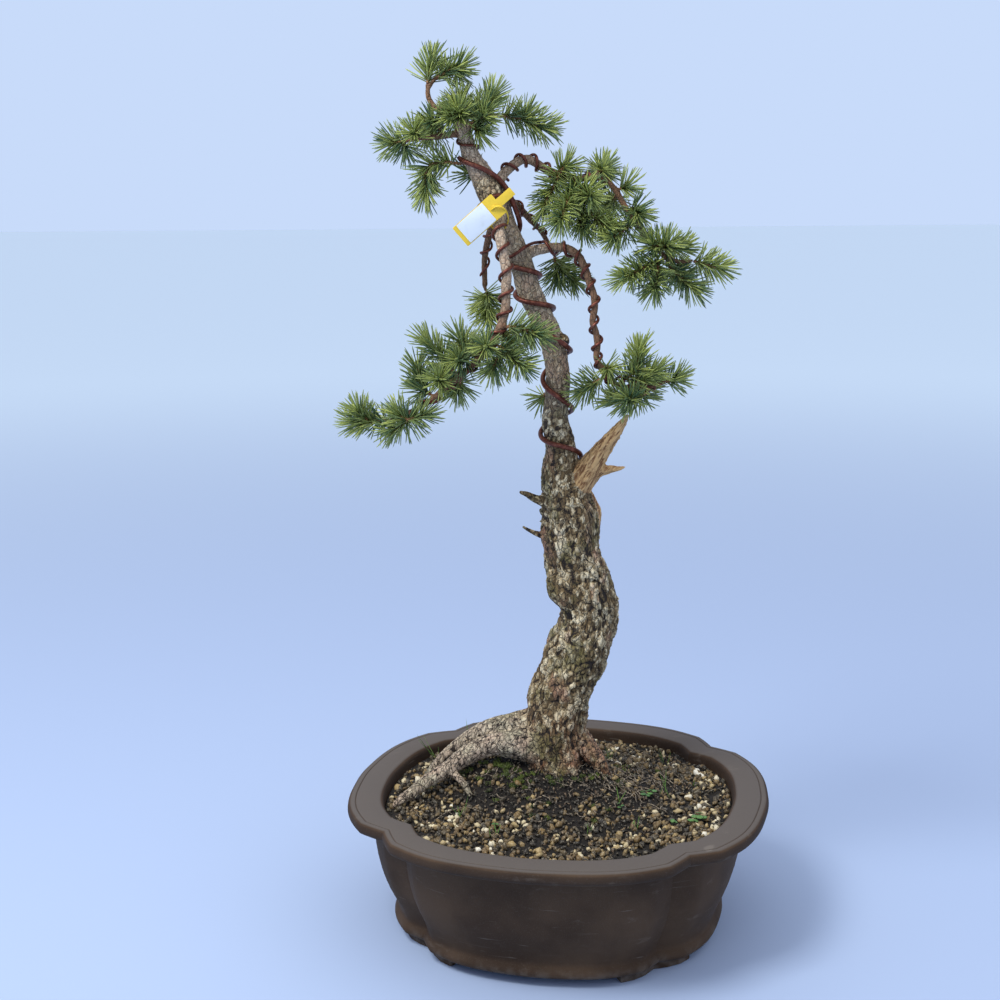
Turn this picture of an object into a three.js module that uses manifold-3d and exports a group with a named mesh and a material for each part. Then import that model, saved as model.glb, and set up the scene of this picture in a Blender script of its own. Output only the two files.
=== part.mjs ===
// A wired Scots pine bonsai in a four-lobed stoneware pot, in millimetres.
// +X is to the right and +Y away from the front of the tree; +Z is up.
// The origin is on the ground, under the middle of the pot.
import * as THREE from 'three';
import { mergeVertices } from 'three/addons/utils/BufferGeometryUtils.js';
import Module from 'manifold-3d';

const wasm = await Module();
wasm.setup();

const V = (x, y, z) => new THREE.Vector3(x, y, z);
const DEGREE = Math.PI / 180;

// Gap between pieces that touch, and between a wire and the furthest reach of what it is wound on
const GAP = 0.35;
const WIRE_GAP = 0.05;

// Pot
const POT_RADIUS = 225;          // middle of a lobe of the rim, from the centre
const POT_SHOULDER = 7;          // how much further out the shoulders of a lobe stand
const POT_NOTCH = 12;            // depth of the notch between two lobes
const POT_TURN = -9.5;           // the lobes' turn from the X and Y axes, in degrees
const RIM_HEIGHT = 144;
const FOOT_HEIGHT = 8;
const DRAIN_RADIUS = 12;
const DRAIN_OUT = 80;            // drain holes, from the centre

// The pot's section from under its middle, over the rim, to the floor inside: share of the outline, height
const POT_OUTSIDE = [
  [0.755, FOOT_HEIGHT], [0.785, 11], [0.794, 15.5], [0.782, 20.5], [0.768, 23.5],
  [0.785, 36], [0.822, 52], [0.853, 72], [0.875, 98], [0.883, 131],
  [0.985, 131], [1.0, 134], [1.0, 141], [0.986, RIM_HEIGHT],
];
const POT_INSIDE = [[0.846, RIM_HEIGHT], [0.832, 140], [0.826, 112], [0.8, 70], [0.75, 40], [0.66, 22]];

// Angles from the middle of a lobe at which the outline has a corner
const LOBE_ANGLES = [-45, -39, -32, -21, -7, 7, 21, 32, 39];

// Soil
const SOIL_EDGE = 130;           // height of the soil at the pot's wall
const MOUND = [                  // centre x, y, spread x, y and height of each rise
  [-6, 16, 104, 96, 27],
  [2, 20, 52, 50, 15],
  [-84, 8, 52, 34, 22],
];

// Wires
const HEAVY_WIRE = 2.7;          // radii
const MIDDLE_WIRE = 1.7;
const THIN_WIRE = 1.4;

// Tag
const TAG = { length: 51, width: 23.5, thick: 1, strap: 18, strapWidth: 9, tilt: 40.7 };
const LABEL = { length: 34, width: 22, thick: 0.6, fromEnd: 4.5 };

// Needles
const NEEDLE_LENGTH = 24.5;
const NEEDLE_ROOT = 1.8;         // radius at the root, where the needle is thickest
const NEEDLES_PER_MM = 0.64;     // of shoot
const SHOOT_RADIUS = 1.5;
const SHOOT_BACK = 10;           // how far a shoot ends before its route, which runs on to the needles' tips
const SHOOT_RING = 4.3;          // a shoot's rings of facets stand this far apart

// Routes of the tree: x, y, z and radius
const TRUNK = [
  [-2, 21, 98, 26], [-4, 21, 150, 37], [-6, 21, 176, 36], [-7, 21, 196, 34.5],
  [-4, 22, 216, 33], [-1, 24, 236, 33], [8, 25, 258, 33], [18, 26, 282, 33.5], [27, 26, 306, 33],
  [32, 26, 328, 31.5], [29, 25, 347, 32], [22, 24, 367, 33.5], [17, 23, 390, 30.5], [13, 22, 413, 31],
  [12, 21, 440, 30.5], [6, 20, 466, 26], [0, 18, 488, 20], [2, 17, 505, 17.5],
  [1, 16, 520, 15.5], [-4, 15, 542, 14.2], [-2, 13, 566, 12.8], [-1, 11, 590, 12.6], [-5, 9, 614, 12.4],
  [-11, 7, 636, 12.2], [-20, 6, 656, 12], [-31, 4, 680, 12], [-38, 2, 704, 12.2], [-46, 0, 724, 12],
  [-55, -2, 743, 12], [-62, -4, 762, 13], [-71, -6, 782, 13.6], [-79, -8, 797, 11.4],
  [-86, -9, 809, 9.4], [-91, -10, 822, 8.2], [-94, -11, 834, 7.4], [-98, -12, 845, 6],
];
const LIMBS = {
  root_upper: [
    [-8, 20, 210, 16], [-34, 18, 210, 14], [-52, 18, 208, 11.5], [-70, 21, 204, 9.8], [-86, 23, 197, 8.8],
    [-107, 21, 185, 7.5], [-127, 17, 169, 6.4], [-140, 11, 155, 5.2], [-149, 4, 144, 4],
  ],
  root_lower: [
    [-6, 12, 188, 25], [-34, 3, 191, 20], [-54, -2, 192, 15], [-70, 0, 191, 12.8], [-96, -1, 181, 10.8],
    [-121, -11, 166, 8.8], [-143, -17, 154, 7.2], [-158, -27, 146, 6], [-171, -35, 139, 4.6], [-177, -38, 134, 3],
  ],
  root_small: [[-120, -10, 164, 4.5], [-110, -20, 161, 4], [-100, -31, 154, 3.4], [-94, -38, 146, 2.6]],
  root_right: [[8, 20, 200, 18], [28, 15, 183, 14], [42, 10, 168, 9], [52, 6, 152, 5]],
  root_back: [[2, 30, 200, 18], [10, 50, 178, 13], [18, 66, 160, 8], [24, 76, 146, 4.5]],
  jin: [
    [4, 18, 462, 14], [20, 15, 474, 15], [29, 10, 487, 13.6], [37, 5, 502, 11.4], [48, -1, 519, 8.6],
    [60, -6, 535, 5.6], [67, -9, 545, 3.4], [71, -10, 552, 1.6],
  ],
  jin_fork: [[30, 9, 484, 7], [43, 6, 490, 6], [54, 2, 493, 4], [62, 0, 494, 2.6], [69, -2, 496, 1.2]],
  jin_splinter: [[34, 14, 467, 1.2], [37, 15, 457, 2.8], [40, 16, 446, 4.2], [40, 17, 430, 4], [34, 18, 416, 4]],
  stub_upper: [[-8, 18, 452, 7], [-25, 14, 459, 4.4], [-34, 13, 464, 3.2], [-42, 12, 467, 1.8]],
  stub_lower: [[-10, 18, 416, 5], [-27, 12, 423, 2.6], [-39, 9, 430, 1.4]],
  bark_flap: [[6, 18, 350, 12], [-6, 8, 360, 7], [-9, 6, 374, 4.5], [-9, 7, 384, 2]],
  knob: [[-4, 8, 624, 9], [5, 6, 627, 8.5], [9, 5, 628, 5]],
  leader: [
    [-97, -12, 840, 5.6], [-103, -11, 849, 4.6], [-113, -10, 855, 3.8], [-124, -8, 861, 3.2],
    [-130, -6, 870, 2.8], [-131, -5, 878, 2.5],
  ],
  left_branch: [
    [-95, -12, 836, 4.4], [-108, -15, 834, 3.6], [-120, -17, 832, 3], [-134, -19, 831, 2.6], [-146, -18, 829, 2.2],
  ],
  right_twig: [[-96, -10, 838, 3.8], [-84, -4, 846, 3], [-74, 4, 851, 2.6], [-65, 8, 853, 2.3]],
  upper_right: [
    [-72, -4, 778, 6.5], [-61, 2, 789, 6], [-55, 5, 797, 5.2], [-46, 9, 805, 5], [-37, 13, 810, 4.8],
    [-28, 16, 809, 4.7], [-18, 20, 803, 4.5], [-7, 22, 797, 4.2], [11, 22, 791, 3.7], [29, 20, 791, 3.4],
    [43, 18, 791, 3.2], [54, 14, 783, 3.1], [66, 8, 764, 3], [78, 4, 744, 2.9], [91, 2, 728, 2.7],
    [107, 2, 713, 2.5], [121, 3, 707, 2.3], [132, 5, 707, 2.1],
  ],
  cascade: [
    [-41, 2, 712, 7.5], [-28, 8, 718, 6], [-14, 10, 721, 5.2], [-1, 10, 722, 4.7], [10, 6, 720, 4.4],
    [19, 0, 714, 4.2], [24, -6, 706, 4.1], [28, -10, 696, 4], [31, -12, 686, 3.9], [35, -14, 675, 3.7],
    [36, -15, 662, 3.6], [34, -15, 648, 3.5], [38, -14, 634, 3.5], [39, -14, 622, 3.4], [38, -13, 611, 3.4],
    [43, -12, 600, 3.3], [50, -12, 590, 3.2], [61, -12, 582, 3], [78, -12, 579, 2.8], [94, -12, 581, 2.6],
    [104, -12, 584, 2.3],
  ],
  back_branch: [
    [-64, -2, 772, 5.5], [-56, 8, 772, 4.4], [-48, 15, 768, 4.1], [-40, 23, 761, 3.7], [-29, 34, 749, 3.4],
    [-20, 43, 740, 3.1], [-13, 52, 728, 2.8], [-8, 58, 719, 2.5],
  ],
  front_branch: [
    [-60, -4, 760, 8], [-60, -17, 753, 6.2], [-60, -28, 744, 5.7], [-58, -35, 731, 5.5], [-55, -39, 715, 5.3],
    [-52, -43, 698, 5.2], [-53, -46, 681, 5], [-53, -48, 666, 4.7], [-56, -50, 652, 4.5], [-62, -51, 638, 4.2],
    [-72, -51, 623, 3.9], [-86, -50, 608, 3.6], [-99, -49, 596, 3.4], [-114, -47, 585, 3.2], [-130, -44, 571, 3],
    [-151, -40, 559, 2.8], [-169, -37, 551, 2.4],
  ],
  back_left_branch: [
    [-60, 0, 756, 5.4], [-68, 13, 746, 4.2], [-73, 24, 731, 3.8], [-76, 31, 719, 3.5], [-78, 37, 707, 3.2],
    [-78, 41, 682, 3],
  ],
};
const ROOTS = ['root_upper', 'root_lower', 'root_small', 'root_right', 'root_back'];
const DEADWOOD = ['jin', 'jin_fork', 'jin_splinter', 'stub_upper', 'stub_lower', 'bark_flap', 'knob'];
const BRANCHES = Object.keys(LIMBS).filter((name) => !ROOTS.includes(name) && !DEADWOOD.includes(name));

// Needled shoots: each spray has a main stem and may have side stems that grow from it
const SPRAYS = {
  leader_tip: [[[-131, -5, 884], [-128, -3, 902], [-122, -2, 918]]],
  top_right: [
    [[-122, -6, 889], [-112, -8, 895], [-101, -10, 898], [-88, -14, 903]],
    [[-102, -9, 898], [-97, -4, 889]],
  ],
  apex_front: [
    [[-97, -20, 848], [-98, -34, 854], [-98, -48, 860]],
    [[-97, -20, 848], [-110, -36, 850], [-116, -44, 850]],
  ],
  apex_up: [[[-97, -10, 851], [-98, -12, 864], [-100, -16, 877]]],
  apex_right: [
    [[-85, -12, 846], [-76, -22, 850], [-69, -38, 854]],
    [[-76, -20, 850], [-68, -16, 867], [-60, -14, 882]],
  ],
  apex_under: [[[-87, -14, 842], [-78, -20, 836], [-74, -22, 827]]],
  right_twig_end: [
    [[-60, 10, 853], [-42, 14, 851], [-29, 16, 846], [-16, 16, 842], [-2, 14, 843]],
    [[-37, 15, 849], [-33, 13, 859]],
  ],
  left_near: [
    [[-118, -17, 838], [-119, -18, 843], [-127, -28, 846], [-132, -36, 849]],
    [[-119, -18, 843], [-126, -4, 841], [-138, 22, 832]],
  ],
  left_front: [[[-138, -19, 830], [-143, -32, 835], [-144, -46, 838]]],
  left_tip: [
    [[-150, -18, 828], [-166, -19, 826], [-180, -20, 824]],
    [[-150, -18, 828], [-154, -11, 820], [-158, -6, 812]],
  ],
  hanging: [

    [[-102, -13, 806], [-115, -18, 807], [-128, -20, 804], [-133, -20, 797], [-133, -21, 784], [-136, -22, 764]],
  ],
  trunk_left: [[[-87, 8, 794], [-94, 13, 798], [-103, 17, 799]]],
  apex_back: [
    [[-100, 2, 847], [-104, 16, 856], [-109, 28, 866]], [[-100, 2, 847], [-86, 18, 858], [-76, 28, 867]],
  ],
  right_top: [[[-2, 17, 796], [7, 10, 803], [16, 2, 806]], [[-2, 17, 796], [-10, 4, 774], [-19, -6, 753]]],
  right_face: [
    [[19, 16, 787], [7, -14, 764], [-2, -42, 740]], [[19, 16, 787], [29, -12, 775], [32, -34, 767]],
  ],
  right_fan: [
    [[40, 18, 796], [42, 15, 800], [47, 9, 800], [52, 2, 797]],
    [[42, 15, 800], [45, 32, 799], [46, 60, 793]],
  ],
  right_high: [[[56, 12, 778], [66, 8, 781], [75, 4, 781]]],
  right_side: [[[68, 6, 760], [78, -4, 758], [87, -10, 754]], [[77, -3, 758], [83, -14, 746]]],
  right_low: [
    [[19, 18, 783], [21, 6, 763], [23, -4, 745], [30, -12, 731]],
    [[21, 6, 763], [41, -10, 747], [57, -22, 738]],
  ],
  right_back: [[[58, 18, 773], [53, 40, 763], [47, 58, 755]]],
  right_inner: [[[76, 2, 747], [60, -16, 736], [44, -32, 726]]],
  right_upper: [
    [[102, 0, 717], [107, -12, 724], [113, -24, 729]], [[102, 0, 717], [120, 4, 720], [136, 4, 725]],
    [[102, 0, 717], [95, -12, 724], [87, -22, 733]],
  ],
  right_tip: [[[137, 6, 707], [152, 6, 703], [166, 6, 700], [175, 6, 700]]],
  right_faces: [
    [[104, -2, 709], [82, -20, 700], [57, -44, 689]], [[104, -2, 709], [98, -18, 690], [92, -38, 672]],
  ],
  right_under: [
    [[111, 4, 704], [117, 4, 697], [131, 0, 684], [148, -4, 672]],
    [[116, 4, 698], [123, 30, 695], [133, 46, 691]],
  ],
  back_pad: [[[-5, 62, 711], [-2, 64, 697], [-4, 62, 675]], [[-5, 62, 711], [9, 58, 693], [24, 54, 679]]],
  cascade_small: [[[45, -14, 604], [50, -22, 600], [55, -34, 595]]],
  cascade_left: [[[47, -12, 591], [30, -10, 581], [14, -8, 569]]],
  cascade_up: [[[62, -14, 585], [79, -18, 600], [81, -20, 616], [86, -24, 630]]],
  cascade_mid: [[[74, -14, 584], [92, -18, 594], [109, -20, 600]]],
  cascade_tip: [[[109, -12, 586], [122, -12, 589], [132, -12, 591]]],
  cascade_low: [
    [[91, -12, 576], [80, -14, 569], [62, -16, 567], [44, -18, 572]],
    [[80, -14, 569], [91, 8, 575], [102, 34, 589]], [[78, -14, 569], [70, -34, 571], [64, -48, 572]],
  ],
  left_crown: [[[-71, -54, 627], [-72, -68, 628], [-73, -84, 629]]],
  left_big: [[[-116, -50, 589], [-118, -66, 594], [-121, -84, 600]]],
  left_end: [
    [[-174, -36, 550], [-196, -36, 548], [-219, -36, 548]],
    [[-195, -36, 548], [-204, -40, 560], [-211, -42, 571]],
  ],
  left_end_side: [
    [[-152, -48, 555], [-153, -53, 553], [-162, -53, 559], [-171, -52, 567]],
    [[-153, -53, 553], [-140, -52, 556], [-126, -48, 560]],
    [[-153, -53, 553], [-163, -50, 545], [-181, -48, 536]],
  ],
  trunk_front: [[[-57, -54, 647], [-34, -58, 643], [-19, -66, 638], [-10, -76, 638]]],
  trunk_low: [
    [[-65, -50, 630], [-47, -56, 616], [-28, -70, 600]],
    [[-65, -50, 630], [-63, -57, 612], [-72, -59, 591]],
  ],
  left_high: [[[-105, -46, 600], [-122, -44, 621], [-142, -42, 638]]],
  left_mid: [
    [[-91, -50, 607], [-96, -44, 627], [-105, -40, 644]],
    [[-91, -50, 607], [-100, -66, 614], [-101, -74, 622]],
  ],
  left_side: [
    [[-128, -42, 576], [-141, -38, 583], [-152, -36, 589]],
    [[-136, -40, 580], [-143, -36, 601], [-145, -34, 615]],
  ],
  left_low: [
    [[-99, -49, 595], [-102, -38, 583], [-112, -34, 568]],
    [[-99, -49, 595], [-116, -14, 593], [-124, 6, 597]],
  ],
  left_back: [[[-79, -48, 616], [-85, -16, 620], [-92, 4, 622]]],
  left_inner: [[[-59, -46, 642], [-52, -30, 631], [-46, -14, 619]]],
  back_left: [
    [[-78, 42, 679], [-74, 40, 671], [-69, 34, 663]], [[-78, 42, 679], [-81, 46, 664], [-81, 46, 650]],
    [[-78, 42, 679], [-75, 38, 654], [-72, 30, 638]],
  ],
  trunk_behind: [[[-15, 23, 569], [-18, 27, 563], [-20, 26, 553]]],
};

// Solids and meshes

function merged(geometry) {
  const bare = geometry.clone();
  bare.deleteAttribute('normal');
  bare.deleteAttribute('uv');
  return mergeVertices(bare, 1e-4);
}

function toSolid(geometry) {
  const mesh = merged(geometry);
  return new wasm.Manifold(new wasm.Mesh({
    numProp: 3,
    vertProperties: Float32Array.from(mesh.attributes.position.array),
    triVerts: Uint32Array.from(mesh.index.array),
  }));
}

function toGeometry(solid) {
  const mesh = solid.getMesh();
  const geometry = new THREE.BufferGeometry();
  geometry.setAttribute('position', new THREE.BufferAttribute(mesh.vertProperties, 3));
  geometry.setIndex(new THREE.BufferAttribute(mesh.triVerts, 1));
  return geometry;
}

function fromTriangles(points, triangles) {
  const geometry = new THREE.BufferGeometry();
  geometry.setAttribute('position', new THREE.Float32BufferAttribute(points.flatMap((p) => [p.x, p.y, p.z]), 3));
  geometry.setIndex(triangles.flat());
  return geometry;
}

// A skin over rings of equally many points, closed by a fan at each end
function skin(rings, first, last) {
  const sides = rings[0].length;
  const points = rings.flat();
  const triangles = [];
  for (let i = 0; i < rings.length - 1; i++) {
    for (let j = 0; j < sides; j++) {
      const k = (j + 1) % sides;
      const a = i * sides + j;
      const b = i * sides + k;
      triangles.push([a, b, b + sides], [a, b + sides, a + sides]);
    }
  }
  const start = points.push(first) - 1;
  const end = points.push(last) - 1;
  const top = (rings.length - 1) * sides;
  for (let j = 0; j < sides; j++) {
    const k = (j + 1) % sides;
    triangles.push([start, k, j], [end, top + j, top + k]);
  }
  return fromTriangles(points, triangles);
}

// The same draws each time, between 0 and 1
function seeded(seed) {
  let state = seed;
  return () => {
    state = (state * 16807) % 2147483647;
    return state / 2147483647;
  };
}

// Pot: an outline of four lobes, carried up its section

function smooth(from, to, value) {
  const share = Math.min(Math.max((value - from) / (to - from), 0), 1);
  return share * share * (3 - 2 * share);
}

function potRadius(lobeAngle) {
  const away = Math.abs(lobeAngle);
  return POT_RADIUS + POT_SHOULDER * smooth(5, 30, away) - POT_NOTCH * Math.max(0, (away - 37) / 8);
}

function potOutline(share, height, inward = 0) {
  const ring = [];
  for (let lobe = 0; lobe < 4; lobe++) {
    for (const angle of LOBE_ANGLES) {
      const turn = (90 * lobe + angle + POT_TURN) * DEGREE;
      const radius = potRadius(angle) * share - inward;
      ring.push(V(radius * Math.cos(turn), radius * Math.sin(turn), height));
    }
  }
  return ring;
}

// One of the four low feet, under a notch of the pot
function foot(lobe) {
  const rings = [];
  for (const away of [-15, -8, 0, 8, 15]) {
    const turn = (90 * lobe + 45 + away + POT_TURN) * DEGREE;
    const outer = potRadius(45 - Math.abs(away)) * 0.752;
    const inner = outer - 26 + 0.5 * Math.abs(away);
    const corner = (radius, height) => V(radius * Math.cos(turn), radius * Math.sin(turn), height);
    rings.push([corner(inner, 0), corner(inner, FOOT_HEIGHT + 3), corner(outer, FOOT_HEIGHT + 3), corner(outer, 0)]);
  }
  const middle = (ring) => ring.reduce((sum, p) => sum.add(p), V(0, 0, 0)).divideScalar(ring.length);
  return skin(rings, middle(rings[0]), middle(rings.at(-1)));
}

function pot() {
  const rings = [...POT_OUTSIDE, ...POT_INSIDE].map(([share, height]) => potOutline(share, height));
  const floor = POT_INSIDE.at(-1)[1];
  let solid = toSolid(skin(rings, V(0, 0, FOOT_HEIGHT), V(0, 0, floor)));
  for (let lobe = 0; lobe < 4; lobe++) solid = solid.add(toSolid(foot(lobe)));
  for (const side of [-1, 1]) {
    const drain = new THREE.CylinderGeometry(DRAIN_RADIUS, DRAIN_RADIUS, 40, 12);
    drain.rotateX(Math.PI / 2);
    drain.translate(side * DRAIN_OUT, 0, 15);
    solid = solid.subtract(toSolid(drain));
  }
  return toGeometry(solid);
}

// Limbs: the trunk, roots, branches and dead wood are lofts along a route

class Limb {
  constructor(route, sides, lump = 0) {
    this.centres = route.map(([x, y, z]) => V(x, y, z));
    this.radii = route.map((stop) => stop[3]);
    this.sides = sides;
    this.lump = lump;
    this.thickest = Math.max(...this.radii);
    this.last = route.length - 1;
    this.frames = this.centres.map((centre, i) => {
      const before = this.centres[Math.max(i - 1, 0)];
      const after = this.centres[Math.min(i + 1, this.last)];
      return { along: after.clone().sub(before).normalize() };
    });
    let across = Math.abs(this.frames[0].along.x) < 0.8 ? V(1, 0, 0) : V(0, 0, 1);
    for (const frame of this.frames) {
      across = across.clone().addScaledVector(frame.along, -across.dot(frame.along)).normalize();
      frame.across = across;
      frame.over = frame.along.clone().cross(across);
    }
  }

  // Radius at a stop and an angle round it: knots and flutes, deepest where the limb is thickest
  relief(i, angle) {
    const z = this.centres[0].z + i * 9;
    const wave = 0.5 * Math.sin(3 * angle + z * 0.11) + 0.35 * Math.sin(5 * angle - z * 0.23 + 1)
      + 0.3 * Math.sin(2 * angle + z * 0.31 + 2);
    return this.radii[i] * (1 + (this.lump * wave * this.radii[i]) / this.thickest);
  }

  // The furthest that the relief can reach where the plain radius is this
  reach(radius) {
    return radius * (1 + (1.15 * this.lump * radius) / this.thickest);
  }

  // Centre, frame and radius anywhere along the limb, where stop counts the route's points
  at(stop) {
    const i = Math.min(Math.floor(stop), this.last - 1);
    const share = stop - i;
    const mix = (key) => this.frames[i][key].clone().lerp(this.frames[i + 1][key], share).normalize();
    return {
      centre: this.centres[i].clone().lerp(this.centres[i + 1], share),
      along: mix('along'),
      across: mix('across'),
      over: mix('over'),
      radius: THREE.MathUtils.lerp(this.radii[i], this.radii[i + 1], share),
    };
  }

  // A point beside the limb at an angle in degrees round it
  beside(stop, degrees, distance) {
    const { centre, across, over } = this.at(stop);
    const angle = degrees * DEGREE;
    return centre.addScaledVector(across, distance * Math.cos(angle)).addScaledVector(over, distance * Math.sin(angle));
  }

  geometry(grown = 0) {
    const ends = new Map([[0, -grown], [this.last, grown]]);
    const rings = this.centres.map((centre, i) => {
      const ring = [];
      for (let j = 0; j < this.sides; j++) {
        const angle = (2 * Math.PI * j) / this.sides;
        const radius = this.relief(i, angle) + grown;
        ring.push(this.beside(i, (360 * j) / this.sides, radius).addScaledVector(this.frames[i].along, ends.get(i) || 0));
      }
      return ring;
    });
    const cap = (i) => this.centres[i].clone().addScaledVector(this.frames[i].along, ends.get(i));
    return skin(rings, cap(0), cap(this.last));
  }

  // The point of the centreline nearest to a place, and the limb's radius there
  nearest(place) {
    let best = { distance: Infinity };
    for (let stop = 0; stop <= this.last; stop += 0.1) {
      const { centre, radius } = this.at(Math.min(stop, this.last));
      const distance = centre.distanceTo(place);
      if (distance < best.distance) best = { distance, centre, radius: this.reach(radius) };
    }
    return best;
  }

  // The straight stretches between its stops, with the furthest reach of its skin at each end
  stretches() {
    return this.centres.slice(1).map((to, i) => ({
      from: this.centres[i],
      to,
      radii: [this.reach(this.radii[i]), this.reach(this.radii[i + 1])],
    }));
  }
}

const trunk = new Limb(TRUNK, 11, 0.1);
const limbs = Object.fromEntries(Object.entries(LIMBS).map(([name, route]) => {
  if (ROOTS.includes(name)) return [name, new Limb(route, 6, 0.1)];
  if (DEADWOOD.includes(name)) return [name, new Limb(route, 5, 0.14)];
  return [name, new Limb(route, 5, 0.05)];
}));

// The trunk's stop at a height
function trunkStop(height) {
  const i = trunk.centres.findIndex((centre) => centre.z >= height);
  const low = trunk.centres[i - 1].z;
  return i - 1 + (height - low) / (trunk.centres[i].z - low);
}

// Shoots: each stem of a spray has a slim core, and the spray a short bare twig of the tree to grow from

const woodLimbs = [trunk, ...BRANCHES.map((name) => limbs[name])];
const twigs = [];
const shoots = [];

// The share of a route at which it has come clear of the limb that it starts in
function clearShare(curve, limb) {
  const clear = limb.radius + SHOOT_RADIUS + 1;
  let share = 0;
  while (share < 0.6 && curve.getPointAt(share).distanceTo(limb.centre) < clear) share += 0.02;
  return share;
}

function layShoot(spray, points) {
  const curve = new THREE.CatmullRomCurve3(points, false, 'centripetal');
  const reach = Math.max(1 - SHOOT_BACK / curve.getLength(), 0.5);
  const length = curve.getLength() * reach;
  const count = Math.max(3, Math.round(length / SHOOT_RING));
  const core = [];
  for (let i = 0; i <= count; i++) {
    core.push([...curve.getPointAt((reach * i) / count).toArray(), SHOOT_RADIUS * (1 - (0.35 * i) / count)]);
  }
  shoots.push({ spray, limb: new Limb(core, 4), length });
  return { curve, reach };
}

for (const [spray, stems] of Object.entries(SPRAYS)) {
  const route = stems[0].map((p) => V(...p));
  const whole = new THREE.CatmullRomCurve3(route, false, 'centripetal');
  const nearest = woodLimbs.map((limb) => limb.nearest(route[0])).sort((a, b) => a.distance - b.distance)[0];
  const start = clearShare(whole, nearest);
  const root = whole.getPointAt(start);
  const onward = whole.getTangentAt(start);
  const beyond = route.slice(1).filter((p) => p.distanceTo(root) > 4 && p.clone().sub(root).dot(onward) > 0);
  const { curve: main, reach } = layShoot(spray, [root, ...beyond]);
  const along = shoots.at(-1).limb.frames[0].along;
  const end = root.clone().addScaledVector(along, -GAP);
  const radius = Math.min(2, nearest.radius * 0.8);
  const stops = [nearest.centre, end];
  const isBent = end.clone().sub(nearest.centre).angleTo(along) > 7 * DEGREE;
  if (isBent) stops.splice(1, 0, end.clone().addScaledVector(along, -2.4));
  twigs.push(new Limb(stops.map((stop) => [...stop.toArray(), radius]), 3));
  const forkAfter = 3.2 / main.getLength();
  for (const stem of stems.slice(1)) {
    const side = stem.map((p) => V(...p));
    let fork = forkAfter;
    for (let share = forkAfter; share < reach; share += 0.05) {
      if (main.getPointAt(share).distanceTo(side[0]) < main.getPointAt(fork).distanceTo(side[0])) fork = share;
    }
    layShoot(spray, [main.getPointAt(fork), ...side.slice(1)]);
  }
}

// Nearest approach of two straight stretches: share along each, and the distance
function approach(p, q, r, s) {
  const u = q.clone().sub(p);
  const v = s.clone().sub(r);
  const w = p.clone().sub(r);
  const a = u.dot(u);
  const b = u.dot(v);
  const c = v.dot(v);
  const d = u.dot(w);
  const e = v.dot(w);
  const clamp = (x) => Math.min(Math.max(x, 0), 1);
  const det = a * c - b * b;
  let first = det > 1e-9 ? clamp((b * e - c * d) / det) : 0;
  const second = clamp((b * first + e) / c);
  first = clamp((b * second - d) / a);
  const distance = p.clone().addScaledVector(u, first).distanceTo(r.clone().addScaledVector(v, second));
  return { first, second, distance };
}

// How thick a straight stretch is at a share of its length
function thickness(piece, share) {
  return piece.radii[0] + (piece.radii[1] - piece.radii[0]) * share;
}

// Whether two stretches are too far apart to be worth measuring
function isFar(p, q) {
  const middle = p.from.clone().add(p.to).sub(q.from).sub(q.to).length() / 2;
  return middle > p.from.distanceTo(p.to) / 2 + q.from.distanceTo(q.to) / 2 + Math.max(...p.radii) + Math.max(...q.radii) + 1;
}

// Wires: rods laid round a limb, from a list of stops and angles

// A curve of straight stretches between points, which a rod follows with one step to each
class Route extends THREE.Curve {
  constructor(points) {
    super();
    this.points = points;
  }

  getPointAt(share) {
    const place = share * (this.points.length - 1);
    const i = Math.min(Math.floor(place), this.points.length - 2);
    return this.points[i].clone().lerp(this.points[i + 1], place - i);
  }

  getTangentAt(share) {
    const i = Math.round(share * (this.points.length - 1));
    const before = this.points[Math.max(i - 1, 0)];
    const after = this.points[Math.min(i + 1, this.points.length - 1)];
    return after.clone().sub(before).normalize();
  }
}

function rod(points, radius, sides) {
  const section = [];
  for (let j = 0; j < sides; j++) {
    const angle = (2 * Math.PI * j) / sides;
    section.push(new THREE.Vector2(radius * Math.cos(angle), radius * Math.sin(angle)));
  }
  return new THREE.ExtrudeGeometry(new THREE.Shape(section), {
    steps: points.length - 1, bevelEnabled: false, extrudePath: new Route(points),
  });
}

// Points round a limb between pairs of stop and angle, an angle step apart
function winding(limb, turns, wireRadius, step) {
  const points = [];
  for (let i = 0; i < turns.length - 1; i++) {
    const [fromStop, fromAngle] = turns[i];
    const [toStop, toAngle] = turns[i + 1];
    const count = Math.max(1, Math.round(Math.abs(toAngle - fromAngle) / step));
    for (let k = i === 0 ? 0 : 1; k <= count; k++) {
      const stop = fromStop + ((toStop - fromStop) * k) / count;
      const angle = fromAngle + ((toAngle - fromAngle) * k) / count;
      const radius = limb.reach(limb.at(stop).radius) + wireRadius + WIRE_GAP;
      points.push(limb.beside(stop, angle, radius / Math.cos((step / 2) * DEGREE)));
    }
  }
  return points;
}

// Pairs of height and angle on the trunk, as pairs of stop and angle
function onTrunk(turns) {
  return turns.map(([height, angle]) => [trunkStop(height), angle]);
}

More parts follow.
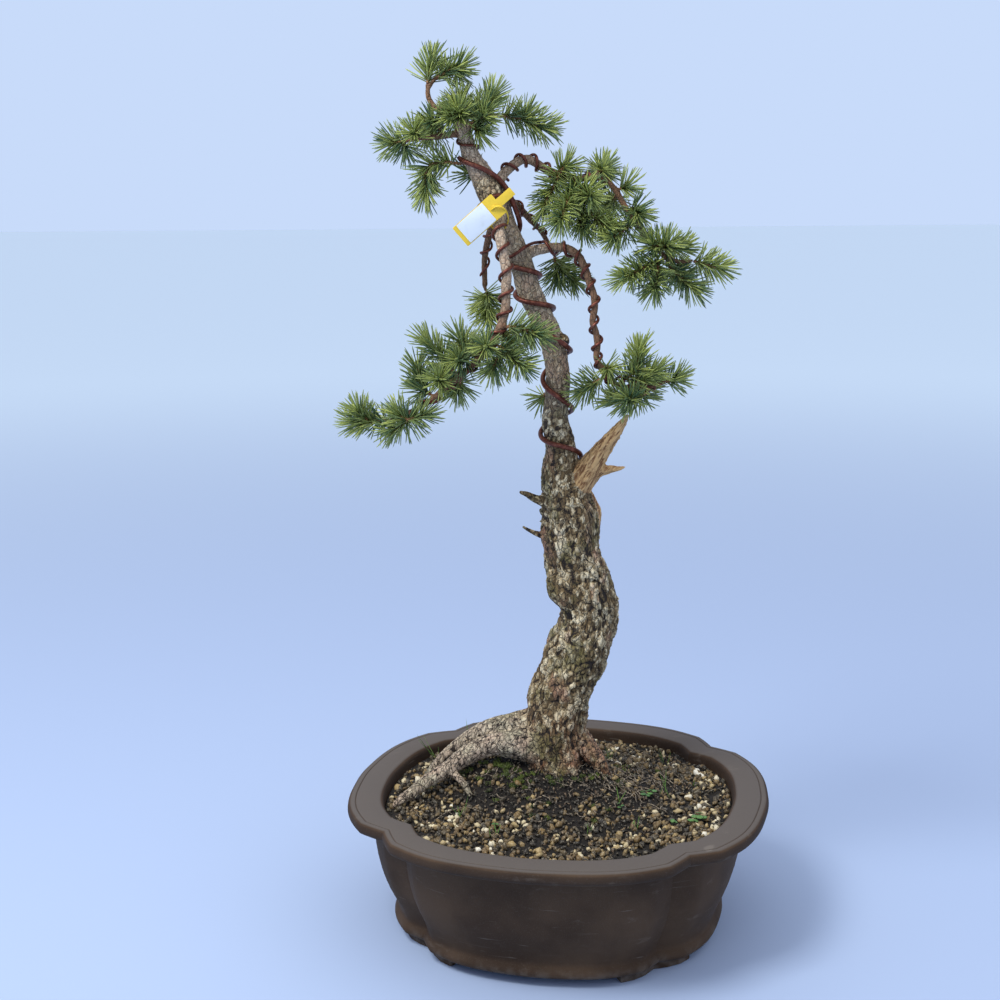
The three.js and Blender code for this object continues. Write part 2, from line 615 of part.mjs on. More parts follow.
const WIRES = {
  wire_trunk: [HEAVY_WIRE, 5, winding(trunk, onTrunk([
    [814, -180], [806, -95], [792, -45], [776, -12], [757, -6], [741, 4], [727, 90], [716, 180], [704, 262],
    [690, 350], [683, 450], [680, 540], [668, 630], [655, 715], [650, 810], [646, 900], [636, 990],
    [616, 1080], [602, 1170], [588, 1260], [572, 1350], [555, 1440], [541, 1530], [530, 1620], [520, 1710],
    [507, 1790], [497, 1825], [484, 1845], [471, 1862],
  ]), HEAVY_WIRE, 36)],
  wire_anchor: [HEAVY_WIRE, 5, winding(trunk, onTrunk([[765, 120], [769, 180], [774, 270], [772, 312]]), HEAVY_WIRE, 36)],
  wire_leader: [THIN_WIRE, 4, winding(
    trunk, onTrunk([[836, 60], [832, 150], [824, 270], [818, 390], [815, 440]]), THIN_WIRE, 45)],
  wire_upper_right: [MIDDLE_WIRE, 4, winding(limbs.upper_right, [[1.6, 0], [9.5, 2160]], MIDDLE_WIRE, 48)],
  wire_cascade: [MIDDLE_WIRE, 4, [
    ...winding(trunk, onTrunk([[716, -150], [717, -40]]), MIDDLE_WIRE, 45),
    ...winding(limbs.cascade, [[1.6, -90], [19.4, 4140]], MIDDLE_WIRE, 48),
  ]],
  wire_front_branch: [MIDDLE_WIRE, 4, winding(limbs.front_branch, [[2.0, 0], [15, 3600]], MIDDLE_WIRE, 48)],
  wire_back_branch: [THIN_WIRE, 4, winding(limbs.back_branch, [[1.6, 0], [5.5, 1080]], THIN_WIRE, 48)],
  wire_back_left: [THIN_WIRE, 4, winding(limbs.back_left_branch, [[1.2, 0], [4.6, 900]], THIN_WIRE, 48)],
};

const obstacles = [trunk, ...Object.values(limbs), ...twigs].flatMap((limb) => limb.stretches());
const cores = shoots.flatMap((shoot) => shoot.limb.stretches());

// Shifts a wire's stretches sideways until they clear all that they would run into
function seat(points, wireRadius) {
  for (let pass = 0; pass < 40; pass++) {
    let clashes = 0;
    for (let i = 0; i < points.length - 1; i++) {
      for (const piece of [...obstacles, ...cores]) {
        const stretch = { from: points[i], to: points[i + 1], radii: [wireRadius, wireRadius] };
        if (isFar(stretch, piece)) continue;
        const near = approach(points[i], points[i + 1], piece.from, piece.to);
        const lack = wireRadius + thickness(piece, near.second) + WIRE_GAP - near.distance;
        if (lack <= 0) continue;
        const shift = points[i].clone().lerp(points[i + 1], near.first);
        shift.sub(piece.from.clone().lerp(piece.to, near.second)).setLength(lack + 0.02);
        points[i].add(shift);
        points[i + 1].add(shift);
        clashes += 1;
      }
    }
    if (clashes === 0) break;
  }
}

for (const [radius, , points] of Object.values(WIRES)) {
  seat(points, radius);
  for (let i = 0; i < points.length - 1; i++) {
    obstacles.push({ from: points[i], to: points[i + 1], radii: [radius, radius] });
  }
}

// Tag: a plate with a strap end, and the loop that holds it to the front branch

const TAG_CENTRE = V(-79, -36, 750);
const TAG_ALONG = V(-Math.cos(TAG.tilt * DEGREE), 0, -Math.sin(TAG.tilt * DEGREE));
const TAG_FACE = V(0, -1, 0);
const TAG_ACROSS = TAG_FACE.clone().cross(TAG_ALONG);
const LOOP_STOP = 1.55;
const LOOP_REACH = 16;

function slab(corners, thick) {
  const shape = new THREE.Shape(corners.map(([x, y]) => new THREE.Vector2(x, y)));
  return new THREE.ExtrudeGeometry(shape, { depth: thick, bevelEnabled: false });
}

function placed(geometry, along, across, facing, at) {
  return geometry.applyMatrix4(new THREE.Matrix4().makeBasis(along, across, facing).setPosition(at));
}

function tag() {
  const { length, width, thick, strap, strapWidth } = TAG;
  const end = -length / 2;
  const plate = slab([
    [end, -width / 2], [-end, -width / 2], [-end, width / 2], [end, width / 2],
    [end, strapWidth / 2], [end - strap, strapWidth / 2], [end - strap, -strapWidth / 2], [end, -strapWidth / 2],
  ], thick);
  const held = limbs.front_branch.at(LOOP_STOP);
  const up = V(0, 0, 1).addScaledVector(held.along, -held.along.z).normalize();
  const side = up.clone().cross(held.along);
  const ring = new THREE.Shape();
  ring.absellipse(0, 0, 10.2, LOOP_REACH, 0, 2 * Math.PI);
  const hole = new THREE.Path();
  hole.absellipse(0, 0, 9.2, LOOP_REACH - 1, 0, 2 * Math.PI);
  ring.holes.push(hole);
  const loop = new THREE.ExtrudeGeometry(ring, { depth: 4, bevelEnabled: false, curveSegments: 10 });
  placed(loop, side, up, held.along, held.centre.clone().addScaledVector(up, LOOP_REACH - 9.5));
  placed(plate, TAG_ALONG, TAG_ACROSS, TAG_FACE, TAG_CENTRE);
  return toGeometry(toSolid(plate).add(toSolid(loop)));
}

function tagLabel() {
  const { length, width, thick, fromEnd } = LABEL;
  const end = TAG.length / 2 - fromEnd;
  const sheet = slab([[end - length, -width / 2], [end, -width / 2], [end, width / 2], [end - length, width / 2]], thick);
  return placed(sheet, TAG_ALONG, TAG_ACROSS, TAG_FACE, TAG_CENTRE.clone().addScaledVector(TAG_FACE, TAG.thick + GAP));
}

for (const share of [-0.8, -0.4, 0, 0.4, 0.8]) {
  const shift = TAG_ACROSS.clone().multiplyScalar((share * TAG.width) / 2);
  const strap = share === 0 ? TAG.strap : 0;
  obstacles.push({
    from: TAG_CENTRE.clone().add(shift).addScaledVector(TAG_ALONG, -TAG.length / 2 - strap),
    to: TAG_CENTRE.clone().add(shift).addScaledVector(TAG_ALONG, TAG.length / 2),
    radii: [3.2, 3.2],
  });
}

// Needles: facets of a shoot's core raised to a point

const needles = [];

function isClear(needle, shoot) {
  const meets = (piece, gap, share = 1) => {
    if (isFar(needle, piece)) return false;
    const near = approach(needle.from, needle.to, piece.from, piece.to);
    return near.distance < share * (thickness(needle, near.first) + thickness(piece, near.second)) + gap;
  };
  const others = shoots.filter((other) => other !== shoot);
  return !obstacles.some((piece) => meets(piece, 0.3))
    && !others.some((other) => other.limb.stretches().some((piece) => meets(piece, other.spray === shoot.spray ? 0 : 0.4)))
    && !needles.some((other) => (other.spray === shoot.spray ? meets(other, 0.05, 0.5) : meets(other, 0.4)));
}

// The core's facets, and a needle on as many as there is room for, even on all sides
function shootGeometry(shoot, random) {
  const { limb } = shoot;
  const sides = limb.sides;
  const points = [];
  const triangles = [];
  for (let i = 0; i <= limb.last; i++) {
    for (let j = 0; j < sides; j++) {
      points.push(limb.beside(i, (360 * (j + i / 2)) / sides, limb.radii[i]));
    }
  }
  const start = points.push(limb.centres[0]) - 1;
  const bud = points.push(limb.centres[limb.last].clone().addScaledVector(limb.frames[limb.last].along, 3)) - 1;
  for (let j = 0; j < sides; j++) {
    const k = (j + 1) % sides;
    triangles.push([start, k, j], [bud, limb.last * sides + j, limb.last * sides + k]);
  }
  const facets = [];
  for (let i = 0; i < limb.last; i++) {
    for (let j = 0; j < sides; j++) {
      const k = (j + 1) % sides;
      const a = i * sides;
      const b = a + sides;
      facets.push({ ring: i, corners: [a + j, a + k, b + j] }, { ring: i, corners: [b + j, a + k, b + k] });
    }
  }
  let wanted = Math.round(shoot.length * NEEDLES_PER_MM) + 6;
  const order = facets.map((facet, i) => ({ facet, rank: (i * 0.618034 + random() * 0.2) % 1 }));
  order.sort((p, q) => p.rank - q.rank);
  for (const { facet } of order) {
    const [a, b, c] = facet.corners.map((corner) => points[corner]);
    const root = a.clone().add(b).add(c).divideScalar(3);
    const away = b.clone().sub(a).cross(c.clone().sub(a)).normalize();
    const along = limb.frames[facet.ring].along;
    let apex = null;
    if (wanted > 0 && facet.ring > 0) {
      for (let attempt = 0; attempt < 7 && !apex; attempt++) {
        const share = facet.ring / limb.last;
        const lean = 62 - 30 * share + (random() - 0.5) * 30;
        const drift = (random() - 0.5) * 0.9;
        const out = away.clone().addScaledVector(along, -away.dot(along)).normalize();
        out.addScaledVector(along.clone().cross(out), drift).normalize();
        const way = along.clone().multiplyScalar(Math.cos(lean * DEGREE));
        way.addScaledVector(out, Math.sin(lean * DEGREE)).addScaledVector(V(0, 0, 1), 0.12).normalize();
        const size = NEEDLE_LENGTH * (0.86 + 0.22 * random());
        const tip = root.clone().addScaledVector(way, size);
        const needle = { spray: shoot.spray, from: root, to: tip, radii: [NEEDLE_ROOT, 0.1] };
        if (way.dot(away) > 0.3 && isClear(needle, shoot)) {
          apex = tip;
          needles.push(needle);
        }
      }
    }
    if (apex) {
      wanted -= 1;
      const top = points.push(apex) - 1;
      const [p, q, r] = facet.corners;
      triangles.push([p, q, top], [q, r, top], [r, p, top]);
    } else {
      triangles.push(facet.corners);
    }
  }
  return fromTriangles(points, triangles);
}

// Soil: fills the pot to a mound round the tree, with a grainy top

function soilHeight(x, y) {
  return MOUND.reduce((height, [cx, cy, sx, sy, rise]) =>
    height + rise * Math.exp(-(((x - cx) / sx) ** 2) - ((y - cy) / sy) ** 2), SOIL_EDGE);
}

const ROOT_SEAT = ['root_upper', 'root_lower', 'root_small', 'root_right', 'root_back'];

function soil() {
  const random = seeded(77);
  const rings = [];
  for (const [share, height] of [...POT_INSIDE].reverse().slice(0, 4)) {
    rings.push(potOutline(share, height + (height < 25 ? GAP : 0), GAP + 0.1));
  }
  for (const share of [1, 0.93, 0.8, 0.66, 0.51, 0.35]) {
    rings.push(potOutline(0.829 * share, 0, GAP + 0.4).map((p) => {
      const grain = share === 1 ? 0 : (random() - 0.5) * 3.2;
      return V(p.x, p.y, soilHeight(p.x, p.y) + grain);
    }));
  }
  const floor = POT_INSIDE.at(-1)[1] + GAP;
  let solid = toSolid(skin(rings, V(0, 0, floor), V(0, 0, soilHeight(0, 0))));
  for (const limb of [trunk, ...ROOT_SEAT.map((name) => limbs[name])]) {
    solid = solid.subtract(toSolid(limb.geometry(GAP)));
  }
  const pieces = solid.decompose().sort((a, b) => b.volume() - a.volume());
  return toGeometry(pieces[0]);
}

function tree() {
  let solid = toSolid(trunk.geometry());
  for (const limb of [...Object.values(limbs), ...twigs]) solid = solid.add(toSolid(limb.geometry()));
  return toGeometry(solid);
}

// Finishes
const finish = (color, roughness) => new THREE.MeshStandardMaterial({ color, roughness, metalness: 0 });
const STONEWARE = finish(0x4a403a, 0.8);
const EARTH = finish(0x5b4a36, 1);
const BARK = finish(0x8c7d6b, 0.95);
const COPPER_BROWN = finish(0x74443a, 0.45);
const YELLOW_PLASTIC = finish(0xe3bf2f, 0.4);
const PAPER = finish(0xdde4ea, 0.6);
const NEEDLE_GREEN = finish(0x46602f, 0.55);

const bonsai = new THREE.Group();

function piece(name, geometry, material) {
  const mesh = new THREE.Mesh(geometry, material);
  mesh.name = name;
  bonsai.add(mesh);
}

piece('pot', pot(), STONEWARE);
piece('soil', soil(), EARTH);
piece('tree', tree(), BARK);
for (const [name, [radius, sides, points]] of Object.entries(WIRES)) {
  piece(name, rod(points, radius, sides), COPPER_BROWN);
}
piece('tag', tag(), YELLOW_PLASTIC);
piece('tag_label', tagLabel(), PAPER);

const random = seeded(2024);
for (const spray of Object.keys(SPRAYS)) {
  const solids = shoots.filter((shoot) => shoot.spray === spray).map((shoot) => toSolid(shootGeometry(shoot, random)));
  piece(`needles_${spray}`, toGeometry(solids.reduce((sum, solid) => sum.add(solid))), NEEDLE_GREEN);
}

export default bonsai;
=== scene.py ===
"""Looks of a wired Scots pine bonsai in a four-lobed stoneware pot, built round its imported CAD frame.

+X is to the right and +Y away from the front of the tree, +Z is up, and the ground is at zero. Sizes and
routes are in millimetres, and every mesh is made in metres in the frame's own place.
"""

from __future__ import annotations

import logging
import math
import random
from collections.abc import Callable, Iterable, Iterator, Sequence
from contextlib import contextmanager
from dataclasses import dataclass, field
from enum import Enum

import bpy
import numpy as np
from mathutils import Matrix, Vector, noise
from mathutils.kdtree import KDTree

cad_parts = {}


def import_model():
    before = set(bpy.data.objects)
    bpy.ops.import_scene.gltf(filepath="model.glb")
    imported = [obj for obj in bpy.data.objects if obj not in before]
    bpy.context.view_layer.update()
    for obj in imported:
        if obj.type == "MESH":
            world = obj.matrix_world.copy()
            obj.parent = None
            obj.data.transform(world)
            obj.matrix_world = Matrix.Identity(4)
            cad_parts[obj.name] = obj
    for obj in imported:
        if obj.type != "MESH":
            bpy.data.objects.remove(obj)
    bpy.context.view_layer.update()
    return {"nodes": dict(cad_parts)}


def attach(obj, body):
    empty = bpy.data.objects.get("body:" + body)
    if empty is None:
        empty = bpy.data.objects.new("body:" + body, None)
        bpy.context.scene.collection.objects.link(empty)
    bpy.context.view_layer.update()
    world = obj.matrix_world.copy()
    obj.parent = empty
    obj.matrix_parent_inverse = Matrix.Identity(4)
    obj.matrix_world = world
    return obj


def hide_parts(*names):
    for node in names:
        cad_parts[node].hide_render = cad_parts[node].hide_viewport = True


LOG = logging.getLogger("bonsai")
MM = 0.001
ALL_ROUND = 6.283
GOLDEN_TURN = 2.39996

Object = bpy.types.Object
Colour = tuple[float, ...]

# Routes of the wood: x, y, z and radius

TRUNK = [
    [-2, 21, 98, 26], [-4, 21, 150, 37], [-6, 21, 176, 36], [-7, 21, 196, 34.5], [-4, 22, 216, 33],
    [-1, 24, 236, 33], [8, 25, 258, 33], [18, 26, 282, 33.5], [27, 26, 306, 33], [32, 26, 328, 31.5],
    [29, 25, 347, 32], [22, 24, 367, 33.5], [17, 23, 390, 30.5], [13, 22, 413, 31], [12, 21, 440, 30.5],
    [6, 20, 466, 26], [0, 18, 488, 20], [2, 17, 505, 17.5], [1, 16, 520, 15.5], [-4, 15, 542, 14.2],
    [-2, 13, 566, 12.8], [-1, 11, 590, 12.6], [-5, 9, 614, 12.4], [-11, 7, 636, 12.2], [-20, 6, 656, 12],
    [-31, 4, 680, 12], [-38, 2, 704, 12.2], [-46, 0, 724, 12], [-55, -2, 743, 12], [-62, -4, 762, 13],
    [-71, -6, 782, 13.6], [-79, -8, 797, 11.4], [-86, -9, 809, 9.4], [-91, -10, 822, 8.2],
    [-94, -11, 834, 7.4], [-98, -12, 845, 6],
]
LIMBS = {
    "root_upper": [
        [-8, 20, 210, 16], [-34, 18, 210, 14], [-52, 18, 208, 11.5], [-70, 21, 204, 9.8],
        [-86, 23, 197, 8.8], [-107, 21, 185, 7.5], [-127, 17, 169, 6.4], [-140, 11, 155, 5.2],
        [-149, 4, 144, 4],
    ],
    "root_lower": [
        [-6, 12, 188, 25], [-34, 3, 191, 20], [-54, -2, 192, 15], [-70, 0, 191, 12.8], [-96, -1, 181, 10.8],
        [-121, -11, 166, 8.8], [-143, -17, 154, 7.2], [-158, -27, 146, 6], [-171, -35, 139, 4.6],
        [-177, -38, 134, 3],
    ],
    "root_small": [[-120, -10, 164, 4.5], [-110, -20, 161, 4], [-100, -31, 154, 3.4], [-94, -38, 146, 2.6]],
    "root_right": [[8, 20, 200, 18], [28, 15, 183, 14], [42, 10, 168, 9], [52, 6, 152, 5]],
    "root_back": [[2, 30, 200, 18], [10, 50, 178, 13], [18, 66, 160, 8], [24, 76, 146, 4.5]],
    "jin": [
        [4, 18, 462, 14], [20, 15, 474, 15], [29, 10, 487, 13.6], [37, 5, 502, 11.4], [48, -1, 519, 8.6],
        [60, -6, 535, 5.6], [67, -9, 545, 3.4], [71, -10, 552, 1.6],
    ],
    "jin_fork": [[30, 9, 484, 7], [43, 6, 490, 6], [54, 2, 493, 4], [62, 0, 494, 2.6], [69, -2, 496, 1.2]],
    "jin_splinter": [
        [34, 14, 467, 1.2], [37, 15, 457, 2.8], [40, 16, 446, 4.2], [40, 17, 430, 4], [34, 18, 416, 4],
    ],
    "stub_upper": [[-8, 18, 452, 7], [-25, 14, 459, 4.4], [-34, 13, 464, 3.2], [-42, 12, 467, 1.8]],
    "stub_lower": [[-10, 18, 416, 5], [-27, 12, 423, 2.6], [-39, 9, 430, 1.4]],
    "bark_flap": [[6, 18, 350, 12], [-6, 8, 360, 7], [-9, 6, 374, 4.5], [-9, 7, 384, 2]],
    "knob": [[-4, 8, 624, 9], [5, 6, 627, 8.5], [9, 5, 628, 5]],
    "leader": [
        [-97, -12, 840, 5.6], [-103, -11, 849, 4.6], [-113, -10, 855, 3.8], [-124, -8, 861, 3.2],
        [-130, -6, 870, 2.8], [-131, -5, 878, 2.5],
    ],
    "left_branch": [
        [-95, -12, 836, 4.4], [-108, -15, 834, 3.6], [-120, -17, 832, 3], [-134, -19, 831, 2.6],
        [-146, -18, 829, 2.2],
    ],
    "right_twig": [[-96, -10, 838, 3.8], [-84, -4, 846, 3], [-74, 4, 851, 2.6], [-65, 8, 853, 2.3]],
    "upper_right": [
        [-72, -4, 778, 6.5], [-61, 2, 789, 6], [-55, 5, 797, 5.2], [-46, 9, 805, 5], [-37, 13, 810, 4.8],
        [-28, 16, 809, 4.7], [-18, 20, 803, 4.5], [-7, 22, 797, 4.2], [11, 22, 791, 3.7],
        [29, 20, 791, 3.4], [43, 18, 791, 3.2], [54, 14, 783, 3.1], [66, 8, 764, 3], [78, 4, 744, 2.9],
        [91, 2, 728, 2.7], [107, 2, 713, 2.5], [121, 3, 707, 2.3], [132, 5, 707, 2.1],
    ],
    "cascade": [
        [-41, 2, 712, 7.5], [-28, 8, 718, 6], [-14, 10, 721, 5.2], [-1, 10, 722, 4.7], [10, 6, 720, 4.4],
        [19, 0, 714, 4.2], [24, -6, 706, 4.1], [28, -10, 696, 4], [31, -12, 686, 3.9], [35, -14, 675, 3.7],
        [36, -15, 662, 3.6], [34, -15, 648, 3.5], [38, -14, 634, 3.5], [39, -14, 622, 3.4],
        [38, -13, 611, 3.4], [43, -12, 600, 3.3], [50, -12, 590, 3.2], [61, -12, 582, 3],
        [78, -12, 579, 2.8], [94, -12, 581, 2.6], [104, -12, 584, 2.3],
    ],
    "back_branch": [
        [-64, -2, 772, 5.5], [-56, 8, 772, 4.4], [-48, 15, 768, 4.1], [-40, 23, 761, 3.7],
        [-29, 34, 749, 3.4], [-20, 43, 740, 3.1], [-13, 52, 728, 2.8], [-8, 58, 719, 2.5],
    ],
    "front_branch": [
        [-60, -4, 760, 8], [-60, -17, 753, 6.2], [-60, -28, 744, 5.7], [-58, -35, 731, 5.5],
        [-55, -39, 715, 5.3], [-52, -43, 698, 5.2], [-53, -46, 681, 5], [-53, -48, 666, 4.7],
        [-56, -50, 652, 4.5], [-62, -51, 638, 4.2], [-72, -51, 623, 3.9], [-86, -50, 608, 3.6],
        [-99, -49, 596, 3.4], [-114, -47, 585, 3.2], [-130, -44, 571, 3], [-151, -40, 559, 2.8],
        [-169, -37, 551, 2.4],
    ],
    "back_left_branch": [
        [-60, 0, 756, 5.4], [-68, 13, 746, 4.2], [-73, 24, 731, 3.8], [-76, 31, 719, 3.5],
        [-78, 37, 707, 3.2], [-78, 41, 682, 3],
    ],
}
SPRAYS = {
    "leader_tip": [[[-131, -5, 884], [-128, -3, 902], [-122, -2, 918]]],
    "top_right": [
        [[-122, -6, 889], [-112, -8, 895], [-101, -10, 898], [-88, -14, 903]],
        [[-102, -9, 898], [-97, -4, 889]],
    ],
    "apex_front": [
        [[-97, -20, 848], [-98, -34, 854], [-98, -48, 860]],
        [[-97, -20, 848], [-110, -36, 850], [-116, -44, 850]],
    ],
    "apex_up": [[[-97, -10, 851], [-98, -12, 864], [-100, -16, 877]]],
    "apex_right": [
        [[-85, -12, 846], [-76, -22, 850], [-69, -38, 854]],
        [[-76, -20, 850], [-68, -16, 867], [-60, -14, 882]],
    ],
    "apex_under": [[[-87, -14, 842], [-78, -20, 836], [-74, -22, 827]]],
    "right_twig_end": [
        [[-60, 10, 853], [-42, 14, 851], [-29, 16, 846], [-16, 16, 842], [-2, 14, 843]],
        [[-37, 15, 849], [-33, 13, 859]],
    ],
    "left_near": [
        [[-118, -17, 838], [-119, -18, 843], [-127, -28, 846], [-132, -36, 849]],
        [[-119, -18, 843], [-126, -4, 841], [-138, 22, 832]],
    ],
    "left_front": [[[-138, -19, 830], [-143, -32, 835], [-144, -46, 838]]],
    "left_tip": [
        [[-150, -18, 828], [-166, -19, 826], [-180, -20, 824]],
        [[-150, -18, 828], [-154, -11, 820], [-158, -6, 812]],
    ],
    "hanging": [
        [
            [-102, -13, 806], [-115, -18, 807], [-128, -20, 804], [-133, -20, 797], [-133, -21, 784],
            [-136, -22, 764],
        ],
    ],
    "trunk_left": [[[-87, 8, 794], [-94, 13, 798], [-103, 17, 799]]],
    "apex_back": [
        [[-100, 2, 847], [-104, 16, 856], [-109, 28, 866]],
        [[-100, 2, 847], [-86, 18, 858], [-76, 28, 867]],
    ],
    "right_top": [
        [[-2, 17, 796], [7, 10, 803], [16, 2, 806]],
        [[-2, 17, 796], [-10, 4, 774], [-19, -6, 753]],
    ],
    "right_face": [
        [[19, 16, 787], [7, -14, 764], [-2, -42, 740]],
        [[19, 16, 787], [29, -12, 775], [32, -34, 767]],
    ],
    "right_fan": [
        [[40, 18, 796], [42, 15, 800], [47, 9, 800], [52, 2, 797]],
        [[42, 15, 800], [45, 32, 799], [46, 60, 793]],
    ],
    "right_high": [[[56, 12, 778], [66, 8, 781], [75, 4, 781]]],
    "right_side": [[[68, 6, 760], [78, -4, 758], [87, -10, 754]], [[77, -3, 758], [83, -14, 746]]],
    "right_low": [
        [[19, 18, 783], [21, 6, 763], [23, -4, 745], [30, -12, 731]],
        [[21, 6, 763], [41, -10, 747], [57, -22, 738]],
    ],
    "right_back": [[[58, 18, 773], [53, 40, 763], [47, 58, 755]]],
    "right_inner": [[[76, 2, 747], [60, -16, 736], [44, -32, 726]]],
    "right_upper": [
        [[102, 0, 717], [107, -12, 724], [113, -24, 729]],
        [[102, 0, 717], [120, 4, 720], [136, 4, 725]],
        [[102, 0, 717], [95, -12, 724], [87, -22, 733]],
    ],
    "right_tip": [[[137, 6, 707], [152, 6, 703], [166, 6, 700], [175, 6, 700]]],
    "right_faces": [
        [[104, -2, 709], [82, -20, 700], [57, -44, 689]],
        [[104, -2, 709], [98, -18, 690], [92, -38, 672]],
    ],
    "right_under": [
        [[111, 4, 704], [117, 4, 697], [131, 0, 684], [148, -4, 672]],
        [[116, 4, 698], [123, 30, 695], [133, 46, 691]],
    ],
    "back_pad": [
        [[-5, 62, 711], [-2, 64, 697], [-4, 62, 675]],
        [[-5, 62, 711], [9, 58, 693], [24, 54, 679]],
    ],
    "cascade_small": [[[45, -14, 604], [50, -22, 600], [55, -34, 595]]],
    "cascade_left": [[[47, -12, 591], [30, -10, 581], [14, -8, 569]]],
    "cascade_up": [[[62, -14, 585], [79, -18, 600], [81, -20, 616], [86, -24, 630]]],
    "cascade_mid": [[[74, -14, 584], [92, -18, 594], [109, -20, 600]]],
    "cascade_tip": [[[109, -12, 586], [122, -12, 589], [132, -12, 591]]],
    "cascade_low": [
        [[91, -12, 576], [80, -14, 569], [62, -16, 567], [44, -18, 572]],
        [[80, -14, 569], [91, 8, 575], [102, 34, 589]],
        [[78, -14, 569], [70, -34, 571], [64, -48, 572]],
    ],
    "left_crown": [[[-71, -54, 627], [-72, -68, 628], [-73, -84, 629]]],
    "left_big": [[[-116, -50, 589], [-118, -66, 594], [-121, -84, 600]]],
    "left_end": [
        [[-174, -36, 550], [-196, -36, 548], [-219, -36, 548]],
        [[-195, -36, 548], [-204, -40, 560], [-211, -42, 571]],
    ],
    "left_end_side": [
        [[-152, -48, 555], [-153, -53, 553], [-162, -53, 559], [-171, -52, 567]],
        [[-153, -53, 553], [-140, -52, 556], [-126, -48, 560]],
        [[-153, -53, 553], [-163, -50, 545], [-181, -48, 536]],
    ],
    "trunk_front": [[[-57, -54, 647], [-34, -58, 643], [-19, -66, 638], [-10, -76, 638]]],
    "trunk_low": [
        [[-65, -50, 630], [-47, -56, 616], [-28, -70, 600]],
        [[-65, -50, 630], [-63, -57, 612], [-72, -59, 591]],
    ],
    "left_high": [[[-105, -46, 600], [-122, -44, 621], [-142, -42, 638]]],
    "left_mid": [
        [[-91, -50, 607], [-96, -44, 627], [-105, -40, 644]],
        [[-91, -50, 607], [-100, -66, 614], [-101, -74, 622]],
    ],
    "left_side": [
        [[-128, -42, 576], [-141, -38, 583], [-152, -36, 589]],
        [[-136, -40, 580], [-143, -36, 601], [-145, -34, 615]],
    ],
    "left_low": [
        [[-99, -49, 595], [-102, -38, 583], [-112, -34, 568]],
        [[-99, -49, 595], [-116, -14, 593], [-124, 6, 597]],
    ],
    "left_back": [[[-79, -48, 616], [-85, -16, 620], [-92, 4, 622]]],
    "left_inner": [[[-59, -46, 642], [-52, -30, 631], [-46, -14, 619]]],
    "back_left": [
        [[-78, 42, 679], [-74, 40, 671], [-69, 34, 663]],
        [[-78, 42, 679], [-81, 46, 664], [-81, 46, 650]],
        [[-78, 42, 679], [-75, 38, 654], [-72, 30, 638]],
    ],
    "trunk_behind": [[[-15, 23, 569], [-18, 27, 563], [-20, 26, 553]]],
}


class Wood(Enum):
    """What a limb is, which sets its bark."""

    TRUNK = "trunk"
    ROOT = "root"
    BRANCH = "branch"
    STUMP = "stump with its bark on"
    DEAD = "bare dead wood"


KINDS = {
    **dict.fromkeys(("root_upper", "root_lower", "root_small", "root_right", "root_back"), Wood.ROOT),
    **dict.fromkeys(("jin", "jin_fork", "jin_splinter"), Wood.DEAD),
    **dict.fromkeys(("stub_upper", "stub_lower", "bark_flap", "knob"), Wood.STUMP),
}


# Modelling helpers


def deselect() -> None:
    """Leave edit mode and select nothing."""
    if bpy.context.object and bpy.context.object.mode != "OBJECT":
        bpy.ops.object.mode_set(mode="OBJECT")
    bpy.ops.object.select_all(action="DESELECT")


def activate(piece: Object) -> None:
    """Select one piece alone and make it the active one.

    Args:
        piece: The piece.
    """
    deselect()
    piece.select_set(True)
    bpy.context.view_layer.objects.active = piece


@contextmanager
def editing(piece: Object, action: str | None = "SELECT") -> Iterator[None]:
    """Work on a piece in edit mode, and leave it afterwards.

    Args:
        piece: The piece.
        action: SELECT for all of it, DESELECT for nothing, None for what is selected already.

    Returns:
        The span for which the piece is in edit mode.
    """
    activate(piece)
    bpy.ops.object.mode_set(mode="EDIT")
    if action:
        bpy.ops.mesh.select_all(action=action)
    yield
    bpy.ops.object.mode_set(mode="OBJECT")


def primitive(add: Callable[..., object], name: str = "part", **settings: object) -> Object:
    """Add a primitive to start from, with its place in its mesh.

    Args:
        add: The operator that adds it.
        name: The new piece's name.
        settings: The operator's own settings.

    Returns:
        The new piece, selected alone.
    """
    deselect()
    add(**settings)
    bpy.ops.object.transform_apply(location=True, rotation=True, scale=True)
    piece = bpy.context.object
    piece.name = piece.data.name = name
    return piece


def pull(rise: float, grow: float) -> None:
    """Extrude the selected face upwards and scale it about the Z axis."""
    bpy.ops.mesh.extrude_region_move(TRANSFORM_OT_translate={"value": (0, 0, rise)})
    bpy.ops.transform.resize(value=(grow, grow, 1), center_override=(0, 0, 0))


def modify(piece: Object, kind: str, **settings: object) -> None:
    """Add a modifier to a piece and apply it.

    Args:
        piece: The piece to change.
        kind: The modifier's type.
        settings: The modifier's own settings.
    """
    activate(piece)
    modifier = piece.modifiers.new(kind.lower(), kind)
    for key, value in settings.items():
        setattr(modifier, key, value)
    bpy.ops.object.modifier_apply(modifier=modifier.name)


def bevel(piece: Object, width: float, angle: float, segments: int = 2) -> None:
    """Round edges sharper than an angle in degrees by a width in millimetres."""
    modify(piece, "BEVEL", width=width * MM, segments=segments, limit_method="ANGLE",
           angle_limit=math.radians(angle))


def join(pieces: Sequence[Object], name: str) -> Object:
    """Join pieces into one.

    Args:
        pieces: The pieces, of which the first keeps its object.
        name: The joined piece's name.

    Returns:
        The joined piece.
    """
    deselect()
    for piece in pieces:
        piece.select_set(True)
    bpy.context.view_layer.objects.active = pieces[0]
    bpy.ops.object.join()
    pieces[0].name = name
    pieces[0].data.name = name
    return pieces[0]


def unpick(piece: Object) -> None:
    """Select none of a piece's vertices, edges and faces."""
    with editing(piece, "DESELECT"):
        pass


